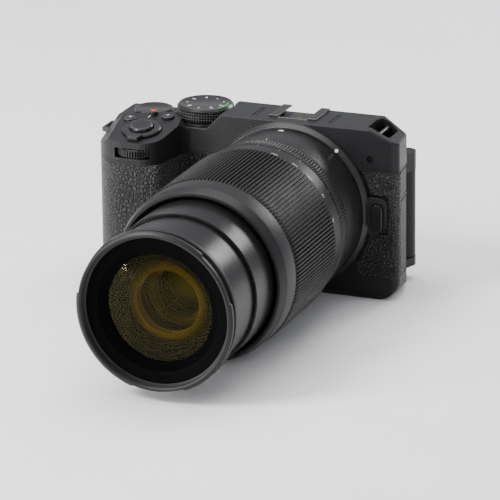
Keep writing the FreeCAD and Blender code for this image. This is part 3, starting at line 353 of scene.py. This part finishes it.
# One finish for each of the record's material slots: name, colour, roughness and the pattern's measures.
FINISHES = {
    "case_plastic": spark_plastic("case_plastic", (0.012, 0.0122, 0.013), 0.40, scale=1.5,
                                  depth=0.16, spread=0.35),
    "grip_rubber": leather("grip_rubber", (0.025, 0.025, 0.026), 0.38),
    "lens_plastic": spark_plastic("lens_plastic", (0.012, 0.012, 0.0127), 0.38, scale=4.5, depth=0.025),
    "lens_rubber": rib_rubber("lens_rubber", (0.006, 0.006, 0.0063), 0.46),
    "tube_plastic": turned("tube_plastic", (0.009, 0.009, 0.0095), 0.28, lines=5, depth=0.006),
    "front_plastic": turned("front_plastic", (0.001, 0.001, 0.0011), 0.5, lines=3, shine=0.02, spread=0.4),
    "coated_glass": clear_glass("coated_glass", (0.004, 0.003, 0.001), 0.30),
    "mount_metal": turned("mount_metal", (0.62, 0.61, 0.60), 0.28, metal=1.0, lines=9, depth=0.01,
                          spread=0.12),
    "bezel_metal": turned("bezel_metal", (0.020, 0.020, 0.021), 0.34, metal=0.3, lines=7, depth=0.01),
    "dial_metal": turned("dial_metal", (0.010, 0.010, 0.0105), 0.28, metal=0.15, lines=4, depth=0.01),
    "button_plastic": smooth("button_plastic", (0.012, 0.012, 0.013), 0.34, coat=0.15),
    "red_plastic": smooth("red_plastic", (0.016, 0.015, 0.015), 0.30, coat=0.2),
    "shoe_metal": turned("shoe_metal", (0.022, 0.022, 0.023), 0.40, metal=0.4, lines=6, depth=0.012),
    "screw_metal": smooth("screw_metal", (0.05, 0.05, 0.052), 0.35, metal=0.8),
    "screen_glass": smooth("screen_glass", (0.006, 0.007, 0.010), 0.06, coat=1.0, depth=0.001),
    "lamp_plastic": smooth("lamp_plastic", (0.008, 0.007, 0.007), 0.12, coat=0.6),
    "port_rubber": rib_rubber("port_rubber", (0.016, 0.016, 0.017), 0.5),
    "socket_metal": smooth("socket_metal", (0.45, 0.45, 0.46), 0.3, metal=1.0),
    "frame_metal": spark_plastic("frame_metal", (0.32, 0.32, 0.33), 0.5, scale=1.4, depth=0.06),
    "board": circuit_board("board"),
    "sensor": smooth("sensor", (0.05, 0.08, 0.09), 0.08, coat=1.0),
    "battery_case": spark_plastic("battery_case", (0.18, 0.18, 0.19), 0.5),
    "card_plastic": smooth("card_plastic", (0.03, 0.05, 0.16), 0.4),
    "socket_steel": turned("socket_steel", (0.5, 0.5, 0.5), 0.3, metal=1.0, lines=8, depth=0.01),
}

# The finishes of rounded edges: lighter than the faces beside them, partly wear where hands rub them and
# partly a painted highlight along each edge.
WORN_HIGHLIT_CASE = smooth("worn_highlit_case", (0.070, 0.070, 0.073), 0.28)
WORN_HIGHLIT_METAL = smooth("worn_highlit_metal", (0.06, 0.06, 0.062), 0.30, metal=0.6)
WORN_HIGHLIT_EDGES = {
    "case_plastic": WORN_HIGHLIT_CASE, "button_plastic": WORN_HIGHLIT_CASE, "lens_plastic": WORN_HIGHLIT_CASE,
    "shoe_metal": WORN_HIGHLIT_METAL, "bezel_metal": WORN_HIGHLIT_METAL, "screw_metal": WORN_HIGHLIT_METAL,
}

WHITE_PAINT = smooth("white_paint", (0.72, 0.72, 0.70), 0.45, spread=0.08)
GREEN_PAINT = smooth("green_paint", (0.05, 0.42, 0.10), 0.45, spread=0.12)
RED_PAINT = smooth("red_paint", (0.50, 0.035, 0.008), 0.30, spread=0.15)
GOLD = turned("contact_gold", (0.16, 0.12, 0.06), 0.35, metal=1.0, lines=9, depth=0.006, spread=0.12)
ELEMENT = coated_element("inner_element")


# ------------------------------------------------------------------ mesh tools


def add_piece(name, mesh, material, body, crease=35):
    """Puts a mesh in the scene with its material and lets it ride on a body."""
    mesh.materials.clear()
    mesh.materials.append(material)
    mesh.polygons.foreach_set("use_smooth", [True] * len(mesh.polygons))
    mesh.set_sharp_from_angle(angle=math.radians(crease))
    piece = bpy.data.objects.new(name, mesh)
    bpy.context.scene.collection.objects.link(piece)
    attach(piece, body)
    return piece


def to_mesh(name, form):
    """Turns a bmesh into a mesh with its faces looking outwards."""
    bmesh.ops.remove_doubles(form, verts=form.verts, dist=1e-7)
    bmesh.ops.recalc_face_normals(form, faces=form.faces)
    mesh = bpy.data.meshes.new(name)
    form.to_mesh(mesh)
    form.free()
    return mesh


def lathe(name, material, body, centre, profile, up=(0, 1, 0), steps=144, swell=None, crease=35):
    """Turns a closed profile of (radius, along) round an axis.

    swell(angle, radius, along) adds to a radius.
    """
    up = Vector(up).normalized()
    side = (Vector((1, 0, 0)) - up * up.x).normalized()
    other = up.cross(side)
    form = bmesh.new()
    layers = []
    for step in range(steps):
        angle = 2 * math.pi * step / steps
        out = side * math.cos(angle) + other * math.sin(angle)
        row = []
        for radius, along in profile:
            extra = swell(angle, radius, along) if swell and radius else 0
            row.append(form.verts.new((Vector(centre) + out * (radius + extra) + up * along) * MM))
        layers.append(row)
    count = len(profile)
    for step in range(steps):
        here, after = layers[step], layers[(step + 1) % steps]
        for index in range(count):
            following = (index + 1) % count
            if profile[index][0] == 0 and profile[following][0] == 0:
                continue
            form.faces.new((here[index], after[index], after[following], here[following]))
    return add_piece(name, to_mesh(name, form), material, body, crease)


def stand_for(piece, *nodes):
    """A piece takes the place of CAD nodes."""
    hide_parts(*nodes)
    REPLACED.update(nodes)
    return piece


def polish(node, width):
    """A copy of a CAD node with flat faces joined, and its edges rounded and given a lighter finish that is
    partly wear and partly a painted highlight.
    """
    form = bmesh.new()
    form.from_mesh(NODES[node].data)
    bmesh.ops.remove_doubles(form, verts=form.verts, dist=1e-6)
    bmesh.ops.dissolve_limit(form, angle_limit=math.radians(0.1), verts=form.verts, edges=form.edges)
    mesh = to_mesh(node + "_shape", form)
    body = NODES[node]["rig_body"]
    piece = add_piece(node + "_shape", mesh, FINISHES[SLOT_OF[node]], body, 30)
    if width:
        bevel = piece.modifiers.new("edges", "BEVEL")
        # The rounded edges take a lighter finish: partly wear, partly a painted highlight along the edge.
        edge_highlight = WORN_HIGHLIT_EDGES.get(SLOT_OF[node])
        if edge_highlight:
            mesh.materials.append(edge_highlight)
            bevel.material = 1
        bevel.width = width * MM
        bevel.segments = 3
        bevel.limit_method = "ANGLE"
        bevel.angle_limit = math.radians(40)
        bevel.use_clamp_overlap = True
        bevel.loop_slide = False
        flat = piece.modifiers.new("flat_faces", "WEIGHTED_NORMAL")
        flat.keep_sharp = True
        flat.weight = 80
    return stand_for(piece, node)


def block(name, material, body, corner, size, width=0.2):
    """A small bar with rounded edges, from its lowest corner and its size."""
    form = bmesh.new()
    bmesh.ops.create_cube(form, size=1)
    bmesh.ops.scale(form, vec=Vector(size) * MM, verts=form.verts)
    bmesh.ops.translate(form, vec=(Vector(corner) + Vector(size) * 0.5) * MM, verts=form.verts)
    bmesh.ops.bevel(form, geom=form.edges, offset=width * MM, segments=2, profile=0.5, affect="EDGES")
    return add_piece(name, to_mesh(name, form), material, body)


def dot(name, material, body, centre, up, radius, proud=0.12):
    """A painted or inlaid dot with a slightly domed face."""
    profile = [(0, -0.3), (radius, -0.3), (radius, proud * 0.5), (radius * 0.8, proud * 0.85), (0, proud)]
    return lathe(name, material, body, centre, profile, up, 32)


def sign(name, text, height, body, place):
    """Generic white print. place(across, upwards, rise) puts a point of the flat text on the surface."""
    curve = bpy.data.curves.new(name, "FONT")
    curve.body = text
    curve.size = height
    curve.align_x = "CENTER"
    curve.align_y = "CENTER"
    curve.extrude = 0.03
    flat = bpy.data.objects.new(name + "_flat", curve)
    bpy.context.scene.collection.objects.link(flat)
    bpy.context.view_layer.update()
    mesh = bpy.data.meshes.new_from_object(flat.evaluated_get(bpy.context.evaluated_depsgraph_get()))
    bpy.data.objects.remove(flat)
    for vertex in mesh.vertices:
        x, y, rise = vertex.co
        vertex.co = place(x, y, rise) * MM
    return add_piece(name, mesh, WHITE_PAINT, body)


def on_barrel(angle, y, radius):
    """Places print round the lens, read from behind the camera. Angle 0 is on top, positive towards +X."""
    def place(across, upwards, rise):
        turn = angle - across / radius
        reach = radius + rise
        return Vector((math.sin(turn) * reach, y - upwards, AXIS_Z + math.cos(turn) * reach))
    return place


def on_top(x, y, z, turn=0.0):
    """Places print on a flat top, read from behind the camera and turned by an angle."""
    def place(across, upwards, rise):
        right = Vector((-math.cos(turn), -math.sin(turn), 0))
        ahead = Vector((math.sin(turn), -math.cos(turn), 0))
        return Vector((x, y, z + rise)) + right * across + ahead * upwards
    return place


def on_back(x, y, z):
    """Places print on a face that looks backwards."""
    def place(across, upwards, rise):
        return Vector((x - across, y + rise, z + upwards))
    return place


# ------------------------------------------------------------------ ridges


def trapezoid(wave, flat=0.45, flank=0.14):
    """A ridge's height from 0 to 1 across one pitch."""
    distance = abs(wave % 1 - 0.5)
    return min(1, max(0, (flat * 0.5 + flank - distance) / flank))


def fade(along, start, end, run):
    """A ridge's share of its full height, which grows from 0 to 1 over a run at each end."""
    return min(1, max(0, min(along - start, end - along) / run))


def ribs(count, height, start, end, run, floor):
    """Ridges along the axis, on the surface beyond a floor radius, that fade out at both ends."""
    def swell(angle, radius, along):
        if radius < floor:
            return 0
        return height * trapezoid(angle * count / (2 * math.pi)) * fade(along, start, end, run)
    return swell


def studs(count, rows, height, start, end, floor):
    """Rows of small square studs round a dial."""
    def swell(angle, radius, along):
        if radius < floor or not start <= along <= end:
            return 0
        across = trapezoid(angle * count / (2 * math.pi), 0.42, 0.2)
        climb = trapezoid((along - start) / (end - start) * rows, 0.42, 0.2)
        return -height * (1 - across * climb)
    return swell


def stair(start, end, count):
    """Points of a flight of light-trap steps from one (radius, along) to another."""
    points = []
    for index in range(count):
        share, after = index / count, (index + 1) / count
        radius = start[0] + (end[0] - start[0]) * share
        points.append((radius, start[1] + (end[1] - start[1]) * share))
        points.append((radius, start[1] + (end[1] - start[1]) * after))
    return points + [end]


def rows(start, end, count):
    """Evenly spaced values from start to end, both included."""
    return [start + (end - start) * index / count for index in range(count + 1)]


# ------------------------------------------------------------------ the lens


def build_rim():
    """The front rim with its hood bayonet and filter thread."""
    thread = []
    bore = RIM_RADIUS - 2.3
    for turn in range(4):
        thread += [(bore + 0.25, 2.9 - 0.7 * turn), (bore, 2.55 - 0.7 * turn)]
    outside = [
        (RIM_RADIUS - 2.1, 0.25), (RIM_RADIUS - 1.7, 0.0), (RIM_RADIUS - 1.2, 0.0), (RIM_RADIUS - 0.9, 0.2),
        (RIM_RADIUS - 0.25, 0.6), (RIM_RADIUS, 0.85), (RIM_RADIUS, 2.3), (RIM_RADIUS - 0.12, 2.42),
        (RIM_RADIUS - 1.15, 2.45), (RIM_RADIUS - 1.15, 3.95), (RIM_RADIUS - 0.3, 4.0), (RIM_RADIUS, 4.3),
        (RIM_RADIUS, 6.3), (RIM_RADIUS - 0.4, 6.75), (28.6, 6.75), (28.6, 5.0),
        (bore - 0.9, 5.0), (bore - 0.9, 3.2)]

    def notches(angle, radius, along):
        """The hood's tabs enter through three gaps in the front lip, the first at the upper right."""
        if radius < RIM_RADIUS - 0.5 or along > 2.6:
            return 0
        past = (angle + math.pi / 2 - NOTCH_START) % (2 * math.pi / 3)
        return -0.8 if past < NOTCH_WIDTH else 0

    rim = lathe("front_rim_shape", FINISHES["lens_plastic"], "front_group", LENS + Vector((0, RIM_FACE, 0)),
                outside + thread, steps=240, swell=notches)
    stand_for(rim, "front_rim")


def build_front_ring():
    """The blank name ring and the ridged cone that leads down to the glass."""
    face = LENS + Vector((0, RIM_FACE, 0))
    outer = RIM_RADIUS - 3.3
    profile = [
        (outer, 4.9), (outer, 3.5), (outer - 0.2, 3.3), (outer - 0.5, 3.35), (25.9, 4.05), (25.5, 4.15)]
    profile += stair((25.2, 4.3), (22.1, 6.4), 6)
    profile += [(22.1, 9.1), (21, 9.1), (21, 20), (28.4, 16), (28.4, 4.9)]
    ring = lathe("front_ring_shape", FINISHES["front_plastic"], "front_group", face, profile)
    stand_for(ring, "front_ring")


def build_glass():
    """The front glass, its blackened cell and the elements that show through it."""
    face = LENS + Vector((0, RIM_FACE, 0))
    glass = [
        (0, 3.9), (4, 3.93), (8, 4.22), (12, 4.72), (16, 5.42), (20, 6.3), (22, 6.8), (22, 7.6), (20, 7.55),
        (14, 7.0), (7, 6.55), (0, 6.4)]
    front = lathe("front_glass_shape", FINISHES["coated_glass"], "front_group", face, glass, crease=60)
    stand_for(front, "front_glass")
    well = [(21.9, 7.7), (21.9, 9.0), (20.9, 9.0), (20.9, 56), (9, 56), (9, 52)]
    well += stair((10.5, 46.0), (20.4, 7.8), 10)
    lathe("glass_cell", FINISHES["front_plastic"], "front_group", face, well)
    for index, (reach, depth) in enumerate(((17.6, 17.5), (14.2, 29), (11.2, 42))):
        bulge = reach * 0.16
        hole = reach * 0.74 if index < 2 else 0
        ring = [(reach, depth), (reach, depth + 1.6), (hole, depth + 1.6), (hole, depth - bulge)]
        for share in (0.3, 0.6, 0.85):
            ring.append((hole + (reach - hole) * share, depth - bulge * (1 - share ** 2)))
        lathe("inner_element_%d" % index, ELEMENT, "front_group", face, ring, crease=60)


def build_tubes():
    """The two tubes that slide out."""
    for node, lip in (("front_tube", 0.25), ("intermediate_tube", 0.3)):
        front, back = low(node).y, high(node).y
        radius = high(node).x
        wall = 1.1
        profile = [
            (radius - wall, front), (radius - lip, front), (radius, front + lip), (radius, back - 0.3),
            (radius - 0.3, back), (radius - wall, back)]
        tube = lathe(node + "_shape", FINISHES["tube_plastic"], NODES[node]["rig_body"], LENS, profile)
        stand_for(tube, node)


def build_zoom_ring():
    """The zoom ring: a smooth front cone, the ribbed rubber and the band with the focal-length marks."""
    front, back = low("zoom_ring").y, high("zoom_ring").y
    rubber_front, rubber_back = low("zoom_ring_rubber").y, high("zoom_ring_rubber").y
    crown = high("zoom_ring_rubber").x
    scale_radius = crown - 2.1
    shoulder = crown - 0.5
    profile = [
        (32.46, back), (scale_radius - 0.4, back), (scale_radius, back - 0.4),
        (scale_radius, rubber_back + 2.4), (shoulder - 0.6, rubber_back + 1.1),
        (shoulder - 0.4, rubber_back + 0.8), (shoulder - 0.4, rubber_back + 0.1), (35.02, rubber_back + 0.1),
        (35.02, rubber_front - 0.1), (shoulder, rubber_front - 0.1), (shoulder, front + 5.2),
        (shoulder - 0.25, front + 4.2), (shoulder - 0.9, front + 2.9), (35.2, front + 0.35), (34.9, front),
        (34.0, front), (33.4, front + 0.5), (32.4, front + 3), (32.4, back - 16.4), (32.46, back - 16.4)]
    ring = lathe("zoom_ring_shape", FINISHES["lens_plastic"], "zoom_ring", LENS, profile)
    stand_for(ring, "zoom_ring")

    valley = crown - 0.95
    outside = [(valley, along) for along in rows(rubber_back, rubber_front, 28)]
    outside = [(valley - 0.3, rubber_back)] + outside + [(valley - 0.3, rubber_front)]
    inside = [(35.04, rubber_front), (35.04, rubber_back)]
    grip = lathe("zoom_ring_rubber_shape", FINISHES["lens_rubber"], "zoom_ring", LENS, outside + inside,
                 steps=ZOOM_RIBS * STEPS_PER_ZOOM_RIB,
                 swell=ribs(ZOOM_RIBS, 0.93, rubber_front, rubber_back, 1.4, valley - 0.1))
    stand_for(grip, "zoom_ring_rubber")

    line = rubber_back + 3.6
    print_radius = scale_radius + 0.01
    for text, angle in FOCAL_MARKS:
        turn = math.radians(angle)
        sign("focal_mark_" + text, text, 1.9, "zoom_ring", on_barrel(turn, line, print_radius))
        sign("focal_tick_" + text, "|", 0.9, "zoom_ring", on_barrel(turn, back - 0.9, print_radius))


def build_control_ring():
    """The narrow control ring with its fine knurl."""
    front, back = low("control_ring").y, high("control_ring").y
    crown = high("control_ring").x
    valley = crown - 0.42
    outside = [(valley - 0.1, back), (valley, back - 0.35)]
    outside += [(valley, along) for along in rows(back - 0.9, front + 0.9, 6)]
    outside += [(valley, front + 0.35), (valley - 0.1, front)]
    inside = [(33.75, front), (33.75, back)]
    ring = lathe("control_ring_shape", FINISHES["lens_plastic"], "control_ring", LENS, outside + inside,
                 steps=CONTROL_KNURLS * STEPS_PER_RIDGE,
                 swell=ribs(CONTROL_KNURLS, 0.42, front + 0.6, back - 0.6, 0.5, valley - 0.05))
    stand_for(ring, "control_ring")


def build_barrel():
    """The rear barrel and the guide tube inside; gives back the flange and the radius that the mounting index
    uses.
    """
    back = high("lens_rear_barrel").y
    radius = high("lens_rear_barrel").x
    flange = back + 0.3
    profile = [
        (28.2, flange - 88), (29.2, flange - 88), (29.2, flange - 16), (31.2, flange - 16),
        (31.2, flange - 40.5), (32.4, flange - 40.5), (32.4, flange - 27.4), (33.7, flange - 27.4),
        (33.7, flange - 19.7), (radius - 0.3, flange - 19.7), (radius, flange - 19.4), (radius, flange - 14),
        (radius - 0.12, flange - 12.5), (radius - 0.95, flange - 0.8), (radius - 1.1, flange - 0.4),
        (radius - 1.5, flange - 0.3), (32.9, flange - 0.3), (32.9, flange - 2.1), (26.6, flange - 2.1),
        (26.6, flange - 3.4), (28.2, flange - 3.4)]
    barrel = lathe("lens_rear_barrel_shape", FINISHES["lens_plastic"], "root", LENS, profile)
    stand_for(barrel, "lens_rear_barrel")
    return flange, radius


def build_index_marks(flange, radius):
    """White dots that line up when the lens is put on, and the zoom index."""
    outward = Vector((math.sin(LENS_INDEX_TURN), 0, math.cos(LENS_INDEX_TURN)))
    dot("lens_index", WHITE_PAINT, "root", LENS + Vector((0, flange - 2.2, 0)) + outward * (radius - 0.95),
        outward, 1.25)
    outward = Vector((math.sin(MOUNT_INDEX_TURN), 0, math.cos(MOUNT_INDEX_TURN)))
    dot("mount_index", WHITE_PAINT, "root", LENS + Vector((0, FLANGE_Y + 0.75, 0)) + outward * 34.7,
        outward * 0.6 - Vector((0, 0.8, 0)), 0.75)
    sign("zoom_index", "|", 1.9, "root", on_barrel(LENS_INDEX_TURN, flange - 18.2, radius + 0.01))


def build_lens():
    build_rim()
    build_front_ring()
    build_glass()
    build_tubes()
    build_zoom_ring()
    build_control_ring()
    build_index_marks(*build_barrel())


# ------------------------------------------------------------------ the dials


def build_mode_dial():
    """The mode dial: four rows of studs, a bright top edge and generic marks."""
    centre = joint_place("mode_turn")
    base, top = low("mode_dial").z, high("mode_dial").z
    radius = high("mode_dial").x - centre.x
    skirt = base + 6.6
    wall = [(radius, along) for along in rows(skirt + 0.45, top - 1.05, 32)]
    profile = [(0, base), (3, base), (3, skirt), (radius - 0.4, skirt), (radius, skirt + 0.4)] + wall
    profile += [
        (radius - 0.2, top - 0.85), (radius - 0.75, top - 0.15), (radius - 0.95, top), (radius - 1.7, top),
        (radius - 2.1, top - 0.25), (0, top - 0.25)]
    dial = lathe("mode_dial_shape", FINISHES["dial_metal"], "mode_dial", (centre.x, centre.y, 0), profile,
                 (0, 0, 1), MODE_STUDS * STEPS_PER_RIDGE,
                 studs(MODE_STUDS, MODE_STUD_ROWS, 0.45, skirt + 0.5, top - 1.1, radius - 0.05))
    stand_for(dial, "mode_dial")
    face = top - 0.26
    for index, text in enumerate(MODE_MARKS):
        turn = 2 * math.pi * index / len(MODE_MARKS)
        spot = Vector((math.sin(turn), -math.cos(turn), 0)) * (radius - 4.3)
        where = on_top(centre.x + spot.x, centre.y + spot.y, face, turn)
        sign("mode_mark_%d" % index, text, 2.9, "mode_dial", where)
    arc = [(turn, radius - 2.8) for turn in rows(math.radians(-35), math.radians(20), 14)]
    band_on_top("mode_arc", GREEN_PAINT, "mode_dial", centre, face, arc, 0.5)


def band_on_top(name, material, body, centre, z, arc, width):
    """A thin flat band along an arc of (angle, radius) on a dial's top."""
    form = bmesh.new()
    layers = []
    for angle, radius in arc:
        out = Vector((math.cos(angle), math.sin(angle), 0))
        corners = [(radius, -0.1), (radius + width, -0.1), (radius + width, 0.04), (radius, 0.04)]
        places = [Vector((centre.x, centre.y, z + rise)) + out * reach for reach, rise in corners]
        layers.append([form.verts.new(place * MM) for place in places])
    for first, second in zip(layers, layers[1:]):
        for index in range(4):
            after = (index + 1) % 4
            form.faces.new((first[index], first[after], second[after], second[index]))
    form.faces.new(layers[0])
    form.faces.new(layers[-1][::-1])
    return add_piece(name, to_mesh(name, form), material, body)


def build_command_dials():
    """The two command dials with their straight ridges."""
    centre = joint_place("main_dial_turn")
    base, top = low("main_command_dial").z, high("main_command_dial").z
    radius = high("main_command_dial").x - centre.x
    skirt = base + 1.9
    wall = [(radius - 0.5, along) for along in rows(skirt, top - 0.55, 8)]
    profile = [(0, base), (2, base), (2, skirt), (radius - 0.9, skirt)] + wall
    profile += [
        (radius - 0.05, top - 0.5), (radius - 0.1, top - 0.15), (radius - 0.35, top), (radius - 1.7, top),
        (radius - 2.2, top - 0.28), (0, top - 0.3)]
    dial = lathe("main_command_dial_shape", FINISHES["dial_metal"], "main_command_dial",
                 (centre.x, centre.y, 0), profile, (0, 0, 1), MAIN_DIAL_RIDGES * STEPS_PER_RIDGE,
                 ribs(MAIN_DIAL_RIDGES, 0.5, skirt, top - 0.5, 0.4, radius - 0.6))
    stand_for(dial, "main_command_dial")

    centre = joint_place("sub_dial_turn")
    base, top = low("sub_command_dial").z, high("sub_command_dial").z
    radius = high("sub_command_dial").x - centre.x
    start, end = base + 1, top - 0.45
    wall = [(radius - 0.5, along) for along in rows(start + 0.3, end - 0.3, 8)]
    profile = [(0, base), (1.5, base), (1.5, start), (radius - 0.8, start)] + wall
    profile += [(radius - 0.8, end), (1.5, end), (1.5, top), (0, top)]
    dial = lathe("sub_command_dial_shape", FINISHES["dial_metal"], "sub_command_dial",
                 (centre.x, centre.y, 0), profile, (0, 0, 1), SUB_DIAL_RIDGES * STEPS_PER_RIDGE,
                 ribs(SUB_DIAL_RIDGES, 0.5, start + 0.1, end - 0.1, 0.5, radius - 0.6))
    stand_for(dial, "sub_command_dial")


# ------------------------------------------------------------------ small fittings


def build_shoe():
    """The accessory shoe's spring plates and contacts."""
    left, right = low("hot_shoe"), high("hot_shoe")
    floor = left.z + 0.78
    for index, x in enumerate((left.x + 1.6, right.x - 4.6)):
        block("shoe_spring_%d" % index, FINISHES["shoe_metal"], "root", (x, left.y + 2.2, floor),
              (3.0, 12.2, 0.35), 0.12)
    spots = ((0, 8.4), (-3.6, 12.2), (-1.2, 13.4), (1.2, 13.4), (3.6, 12.2))
    for index, (x, y) in enumerate(spots):
        dot("shoe_contact_%d" % index, GOLD, "root", (x, left.y + y, floor), (0, 0, 1),
            1.3 if index == 0 else 0.7, 0.2)


def build_microphones():
    """Slats across each microphone slot."""
    lowest, highest = low("microphone_grilles"), high("microphone_grilles")
    for side, centre in ((0, lowest.x + 0.9), (1, highest.x - 0.9)):
        for index, y in enumerate(rows(lowest.y + 1.2, highest.y - 1.2, 9)):
            block("microphone_slat_%d_%d" % (side, index), FINISHES["bezel_metal"], "root",
                  (centre - 0.7, y - 0.18, highest.z - 0.05), (1.4, 0.36, 0.2), 0.06)


def build_control_marks():
    """The red movie dot, the power index and the signs on the round buttons."""
    centre = (low("movie_button") + high("movie_button")) * 0.5
    dot("movie_dot", RED_PAINT, "movie_button", (centre.x, centre.y, high("movie_button").z - 0.1),
        (0, 0, 1), 1.25, 0.1)
    for node, text in (("exposure_button", "±"), ("iso_button", "+")):
        centre = (low(node) + high(node)) * 0.5
        sign(node + "_sign", text, 2.6, node, on_top(centre.x, centre.y, high(node).z - 0.02))
    tilt = Vector(JOINTS["power_turn"]["axis"])
    centre = joint_place("power_turn")
    ahead = Vector((1, 0, 0)).cross(tilt)
    tab = centre - ahead * 9.0 + tilt * 2.0

    def on_tab(across, upwards, rise):
        return tab - Vector((1, 0, 0)) * across - ahead * upwards + tilt * (rise + 0.01)

    sign("power_line", "|", 2.4, "power_switch", on_tab)


def build_back_signs():
    """Simple generic signs on the buttons at the back."""
    for node, text in (("play_button", "▶"), ("info_button", "i"), ("menu_button", "="),
                       ("delete_button", "×"), ("ael_button", "•")):
        middle = (low(node) + high(node)) * 0.5
        sign(node + "_sign", text, 3.0, node, on_back(middle.x, high(node).y, middle.z))


def build_tripod_socket():
    """The threaded bush in the base."""
    outer = high("tripod_bush").x
    top = high("tripod_bush").z
    depth = 5.5
    pitch = 1.27 * 0.5
    turns = int((depth - 0.4) / pitch)
    thread = []
    for turn in range(turns):
        thread += [(2.55, depth - turn * pitch), (2.85, depth - (turn + 0.5) * pitch)]
    profile = [(0, depth)] + thread + [
        (3.1, 0.0), (6, 0), (6, 2.6), (outer, 2.6), (outer, 3.8), (6, 3.8), (6, top), (0, top)]
    bush = lathe("tripod_bush_shape", FINISHES["socket_steel"], "root", (0, 0, 0), profile, (0, 0, 1), 72)
    stand_for(bush, "tripod_bush")


# ------------------------------------------------------------------ the casing and the rest

# How far each CAD node's edges are rounded, in millimetres. The others get SMALL_EDGE.
EDGES = {
    "top_cover": 0.7, "front_cover": 0.7, "rear_cover": 0.6, "base_cover": 0.6, "grip_rubber": 0.25,
    "side_covering": 0.2, "battery_door": 0.3, "battery_door_latch": 0.25, "mount_bezel": 0.35,
    "body_mount_ring": 0.15, "lens_bayonet": 0.15, "hot_shoe": 0.18, "strap_lugs": 0.3, "thumb_rest": 0.4,
    "screen_panel": 0.5, "screen_arm": 0.5, "screen_glass": 0.15, "microphone_port_cover": 0.3,
    "data_port_cover": 0.3, "power_switch": 0.25, "photo_video_lever": 0.25, "multi_selector": 0.2,
}
SMALL_EDGE = 0.15


def build_rest():
    """Every other CAD node gets rounded edges and its own finish."""
    for node in sorted(NODES):
        if node not in REPLACED:
            polish(node, EDGES.get(node, SMALL_EDGE))


# ------------------------------------------------------------------ the studio

LIT_SPOT = (0, -0.06, 0.04)
# Each soft box: name, place and size in metres, and power in watts.
SOFT_BOXES = (
    ("key_box", (-0.55, -0.75, 0.8), 0.35, 0.35, 14),
    ("left_box", (-0.78, -0.82, 0.22), 0.35, 0.45, 11),
    ("top_box", (-0.1, 0.15, 1.1), 1.2, 0.8, 13),
    ("back_box", (0.33, 0.82, 0.42), 0.24, 0.26, 3),
)
# The floor lies this far below the base, so that the two surfaces don't coincide.
FLOOR_GAP = 0.0003


def area_light(name, place, target, width, height, power):
    data = bpy.data.lights.new(name, "AREA")
    data.shape = "RECTANGLE"
    data.size = width
    data.size_y = height
    data.energy = power
    lamp = bpy.data.objects.new(name, data)
    bpy.context.scene.collection.objects.link(lamp)
    lamp.location = place
    lamp.rotation_euler = (Vector(target) - Vector(place)).to_track_quat("-Z", "Y").to_euler()
    return lamp


def build_studio():
    """A pale floor, a pale surrounding and four soft boxes."""
    form = bmesh.new()
    bmesh.ops.create_grid(form, x_segments=1, y_segments=1, size=3)
    mesh = bpy.data.meshes.new("floor")
    form.to_mesh(mesh)
    form.free()
    floor = bpy.data.objects.new("floor", mesh)
    floor.location.z = CAD_BOX[0][2] - FLOOR_GAP
    bpy.context.scene.collection.objects.link(floor)
    paper = Finish("floor_paper", (0.94, 0.94, 0.94), 0.85)
    paper.lay(paper.noise(0.02, 2), spread=0.02, rough_spread=0.03)
    mesh.materials.append(paper.material)
    world = bpy.data.worlds.new("studio")
    bpy.context.scene.world = world
    world.use_nodes = True
    background = world.node_tree.nodes["Background"]
    background.inputs["Color"].default_value = (0.95, 0.96, 1.0, 1)
    background.inputs["Strength"].default_value = 0.68
    for name, place, width, height, power in SOFT_BOXES:
        area_light(name, place, LIT_SPOT, width, height, power)


def build_camera():
    """The photograph's viewing angle."""
    azimuth, elevation = VIEW_AZIMUTH, VIEW_ELEVATION
    right = Vector((math.cos(azimuth), math.sin(azimuth), 0))
    back = Vector((math.sin(azimuth) * math.cos(elevation), -math.cos(azimuth) * math.cos(elevation),
                   math.sin(elevation)))
    up = back.cross(right)
    tilted_right = right * math.cos(VIEW_ROLL) + up * math.sin(VIEW_ROLL)
    tilted_up = up * math.cos(VIEW_ROLL) - right * math.sin(VIEW_ROLL)
    centre = LENS + Vector((0, FLANGE_Y, 0))
    place = centre + tilted_right * VIEW_ASIDE + tilted_up * VIEW_UP + back * VIEW_DISTANCE
    data = bpy.data.cameras.new("camera")
    data.sensor_width = 36
    data.lens = VIEW_LENS
    data.clip_end = 20
    camera = bpy.data.objects.new("camera", data)
    bpy.context.scene.collection.objects.link(camera)
    turn = Matrix((tilted_right, tilted_up, back)).transposed().to_4x4()
    camera.matrix_world = Matrix.Translation(place * MM) @ turn
    bpy.context.scene.camera = camera


build_lens()
build_mode_dial()
build_command_dials()
build_shoe()
build_microphones()
build_control_marks()
build_back_signs()
build_tripod_socket()
build_rest()
build_studio()
build_camera()
